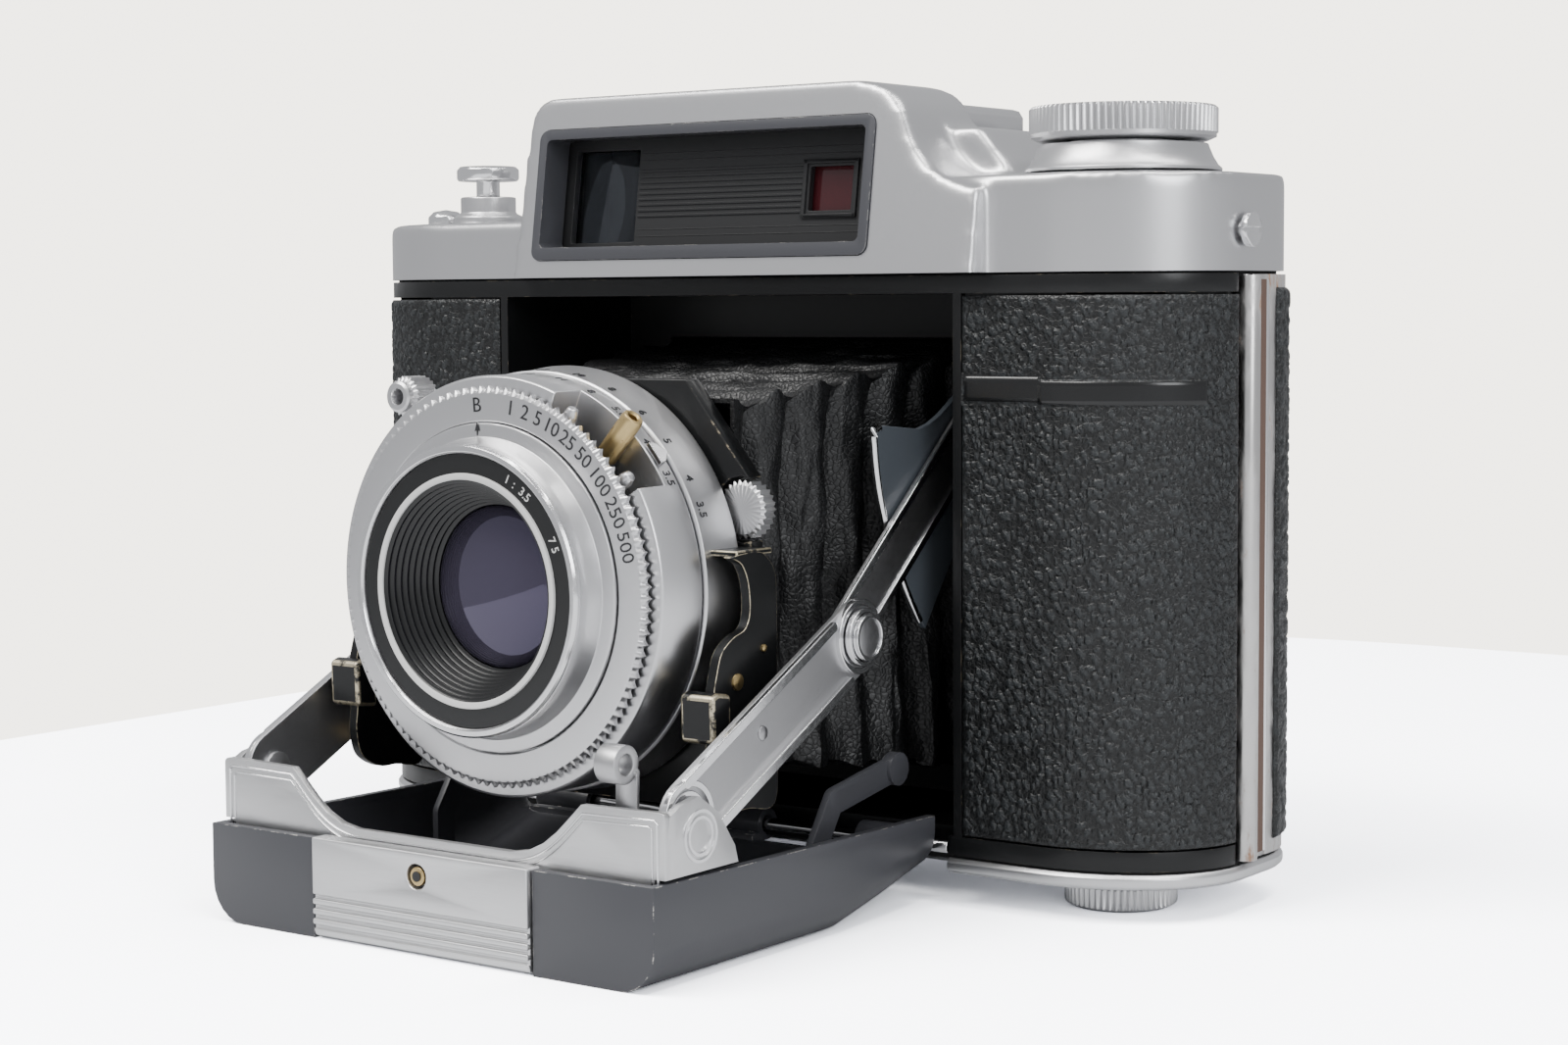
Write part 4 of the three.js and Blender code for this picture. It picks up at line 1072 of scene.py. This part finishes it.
for name, side in SIDES:
    place, length = strip_frame(FRONT_PIVOT, MIDDLE_PIVOT, FRONT_LANE, side)
    body = f"front_strut_{name}"
    piece(f"strut_plate_{name}", placed(prism(capsule(length, STRUT_RADIUS), "z", 0, 0.75), place),
          "satin", body, body, width_mm=0.15)
    rims = bmesh.new()
    for v in (3.85, -3.85):
        gather(rims, round_strip(1.0, length - 3.4, v, 1.25, 0.6, 1.3), place)
    piece(f"strut_rims_{name}", rims, "polished", body, width_mm=0.15)
    rings = bmesh.new()
    for centre, steps in ((length, MIDDLE_RINGS), (0, FRONT_RINGS)):
        for outer, inner, top in steps:
            profile = [(inner, 0.4), (inner, top), (outer, top), (outer, 0.4)]
            gather(rings, lathe(profile, (centre, 0, 0), "z", 64), place)
    piece(f"strut_rings_{name}", rings, "polished", body, width_mm=0.14)
    rivet = lathe([(0, 0.4), (2.35, 0.4), (2.35, 2.5), (1.9, 2.62), (0, 2.7)], (length, 0, 0), "z", 64)
    small = lathe([(0, 0.5), (0.85, 0.5), (0.85, 0.95), (0.6, 1.05), (0, 1.1)],
                  (length * 0.43, 0.6, 0), "z", 32)
    gather(rivet, small)
    piece(f"strut_rivet_{name}", placed(rivet, place), "steel", body, width_mm=0.08)
    place, length = strip_frame(MIDDLE_PIVOT, REAR_PIVOT, REAR_LANE, side)
    body = f"rear_strut_{name}"
    rear = placed(prism(capsule(length, 3.5), "z", 0, 0.6), place)
    piece(f"rear_plate_{name}", rear, "steel", body, body, width_mm=0.15)
    rims = bmesh.new()
    for v in (3.0, -3.0):
        gather(rims, round_strip(1.0, length - 1.0, v, 1.0, 0.4, 0.9), place)
    piece(f"rear_rims_{name}", rims, "polished", body, width_mm=0.15)
    # Sector plate: dark enamel with a bright rolled edge along its curved front.
    arc = [(-23.6, 54.2)] + bezier((-23.6, 54.2), (-23.1, 45.9), (-19.1, 37.2), (-12.7, 29.7), 20)
    outline = arc + [(-5.0, 40.0), (4.8, 57.0)]
    outline += bezier((4.8, 57.0), (6.4, 60.4), (3.0, 63.4), (0.0, 61.8), 6)
    outline += bezier((0.0, 61.8), (-5.0, 59.4), (-9.0, 55.4), (-14.0, 54.8), 6)
    outline += [(-21.8, 55.5), (-23.0, 55.2)]
    plate = prism(outline, "x", side * SECTOR_LANE[0], side * SECTOR_LANE[1])
    piece(f"sector_{name}", plate, "sector", body, f"sector_plate_{name}", width_mm=0.15)
    edge = tube([(side * 29.7, y, z) for y, z in [(-22.4, 55.3), (-23.4, 55.0)] + arc[:-1]], 0.5)
    piece(f"sector_edge_{name}", edge, "polished", body)
    dots = bmesh.new()
    for y, z, r in ((-15.6, 45.4, 0.8), (-12.6, 45.2, 0.45)):
        dot = lathe([(0, 29.8), (r, 29.8), (r, 30.15), (0, 30.22)], (0, 0, 0), "z", 24)
        gather(dots, dot, on_side(side, y, z))
    piece(f"sector_rivets_{name}", dots, "brass", body)


# Brackets beside the shutter: black, worn to bare metal along the front edge.
CHEEK = [(-50.9, 41.6), (-49.2, 40.6), (-48.0, 38.4), (-47.7, 35.2), (-48.6, 33.2), (-51.0, 32.3), (-53.1, 30.8),
         (-54.1, 28.4), (-54.8, 25.4), (-54.6, 21.0), (-54.9, 17.4), (-54.0, 14.2), (-51.0, 12.4), (-48.0, 12.2),
         (-43.0, 12.2), (-42.5, 20.0), (-42.5, 36.5), (-43.0, 39.6), (-44.4, 41.2), (-46.2, 41.9)]


def smooth_loop(points, per=5):
    """Catmull-Rom curve through a closed loop of points."""
    out, n = [], len(points)
    for i in range(n):
        a, b, c, d = (Vector(points[(i + k) % n]) for k in (-1, 0, 1, 2))
        for k in range(per):
            t = k / per
            out.append(tuple(0.5 * (2 * b + (c - a) * t + (2 * a - 5 * b + 4 * c - d) * t * t
                                    + (3 * b - a - 3 * c + d) * t ** 3)))
    return out


for name, side in SIDES:
    cheek = prism(smooth_loop(CHEEK), "x", side * 27.5, side * 28.8)
    piece(f"bracket_{name}", cheek, "black", "standard", f"standard_bracket_{name}",
          width_mm=0.45, angle=50, edge="bracket_edge")
    flange = prism(
        [(side * 23.5, 41.5), (side * 28.7, 41.5), (side * 28.7, 42.2), (side * 23.5, 42.2)],
        "y", -50.0, -43.2)
    piece(f"bracket_top_{name}", flange, "black", "standard", width_mm=0.2, edge="bracket_edge")
    # Folded clip in front of the bracket.
    clip = prism([(-56.6, 20.8), (-53.2, 20.4), (-53.2, 26.2), (-55.6, 26.6), (-56.8, 26.2)],
                 "x", side * 25.4, side * 30.2)
    piece(f"bracket_clip_{name}", clip, "black", "standard", width_mm=0.5, angle=50, edge="bracket_edge")
    rivets = bmesh.new()
    for y, z, r in ((-50.3, 27.2, 1.05), (-45.2, 30.6, 0.5), (-50.6, 16.2, 0.9)):
        head = lathe([(0, 28.6), (r, 28.6), (r * 0.9, 29.05), (r * 0.5, 29.15), (0, 29.15)],
                     (0, 0, 0), "z", 32)
        gather(rivets, head, on_side(side, y, z))
    piece(f"bracket_rivets_{name}", rivets, "brass", "standard")


# ---------------------------------------------------------------- bed and right-hand end
CROSSPIECE_FRONT = -70.85
half = [(33.3, 4.0), (33.3, 14.3), (32.9, 14.7), (22.8, 14.5)]
half += bezier((22.8, 14.5), (19.8, 11.7), (17.2, 8.3), (12.0, 8.1), 12)
border = half + [(-x, z) for x, z in reversed(half)]
lines = bmesh.new()
for inset, radius in ((0.0, 0.16), (0.75, 0.12)):
    tube([(x - math.copysign(inset, x) * (abs(x) > 30), CROSSPIECE_FRONT, z - inset) for x, z in border],
         radius, lines)
piece("crosspiece_border", lines, "polished", "bed")
# Small bright rings pressed into the crosspiece's flange round each strut's pivot.
for name, side in SIDES:
    arcs = bmesh.new()
    for radius in (2.6, 3.5):
        gather(arcs, lathe([(radius - 0.22, 34.2), (radius - 0.22, 34.5), (radius + 0.22, 34.5),
                            (radius + 0.22, 34.2)], (0, 0, 0), "z", 64),
               on_side(side, -64.6, 12.2, 0.8))
    piece(f"flange_rings_{name}", arcs, "polished", "bed")
# Keyhole of the bed catch: a flat black disc on the brass pin, painted shade standing for the bore.
piece("lock_bore_shade", lathe([(0, -73.35), (0.62, -73.35), (0.62, -73.55), (0, -73.55)], (0, 0, 5.2), "y", 32),
      "plastic", "lock_pin")
# Ring that finishes the leather round the film counter's window.
piece("window_collar", lathe([(6.7, 19.2), (6.7, 19.95), (6.9, 20.1), (7.6, 20.1), (7.85, 19.95), (7.85, 19.2)],
                             (-14, 0, 22), "y", 96), "polished", "door", width_mm=0.1)
# Door edge: a worn paint strip and a thin rail beside the hinge.
piece("end_strip", box((67.35, 3.0, 3.0), (68.15, 4.6, 73.0)), "rusty", "door", width_mm=0.08)
rail = tube([(67.55, 5.2, 3.0), (67.55, 5.2, 73.0)], 0.55)
piece("end_rail", rail, "polished", "door")


# ---------------------------------------------------------------- finish
make_camera()
make_lights()
make_floor()
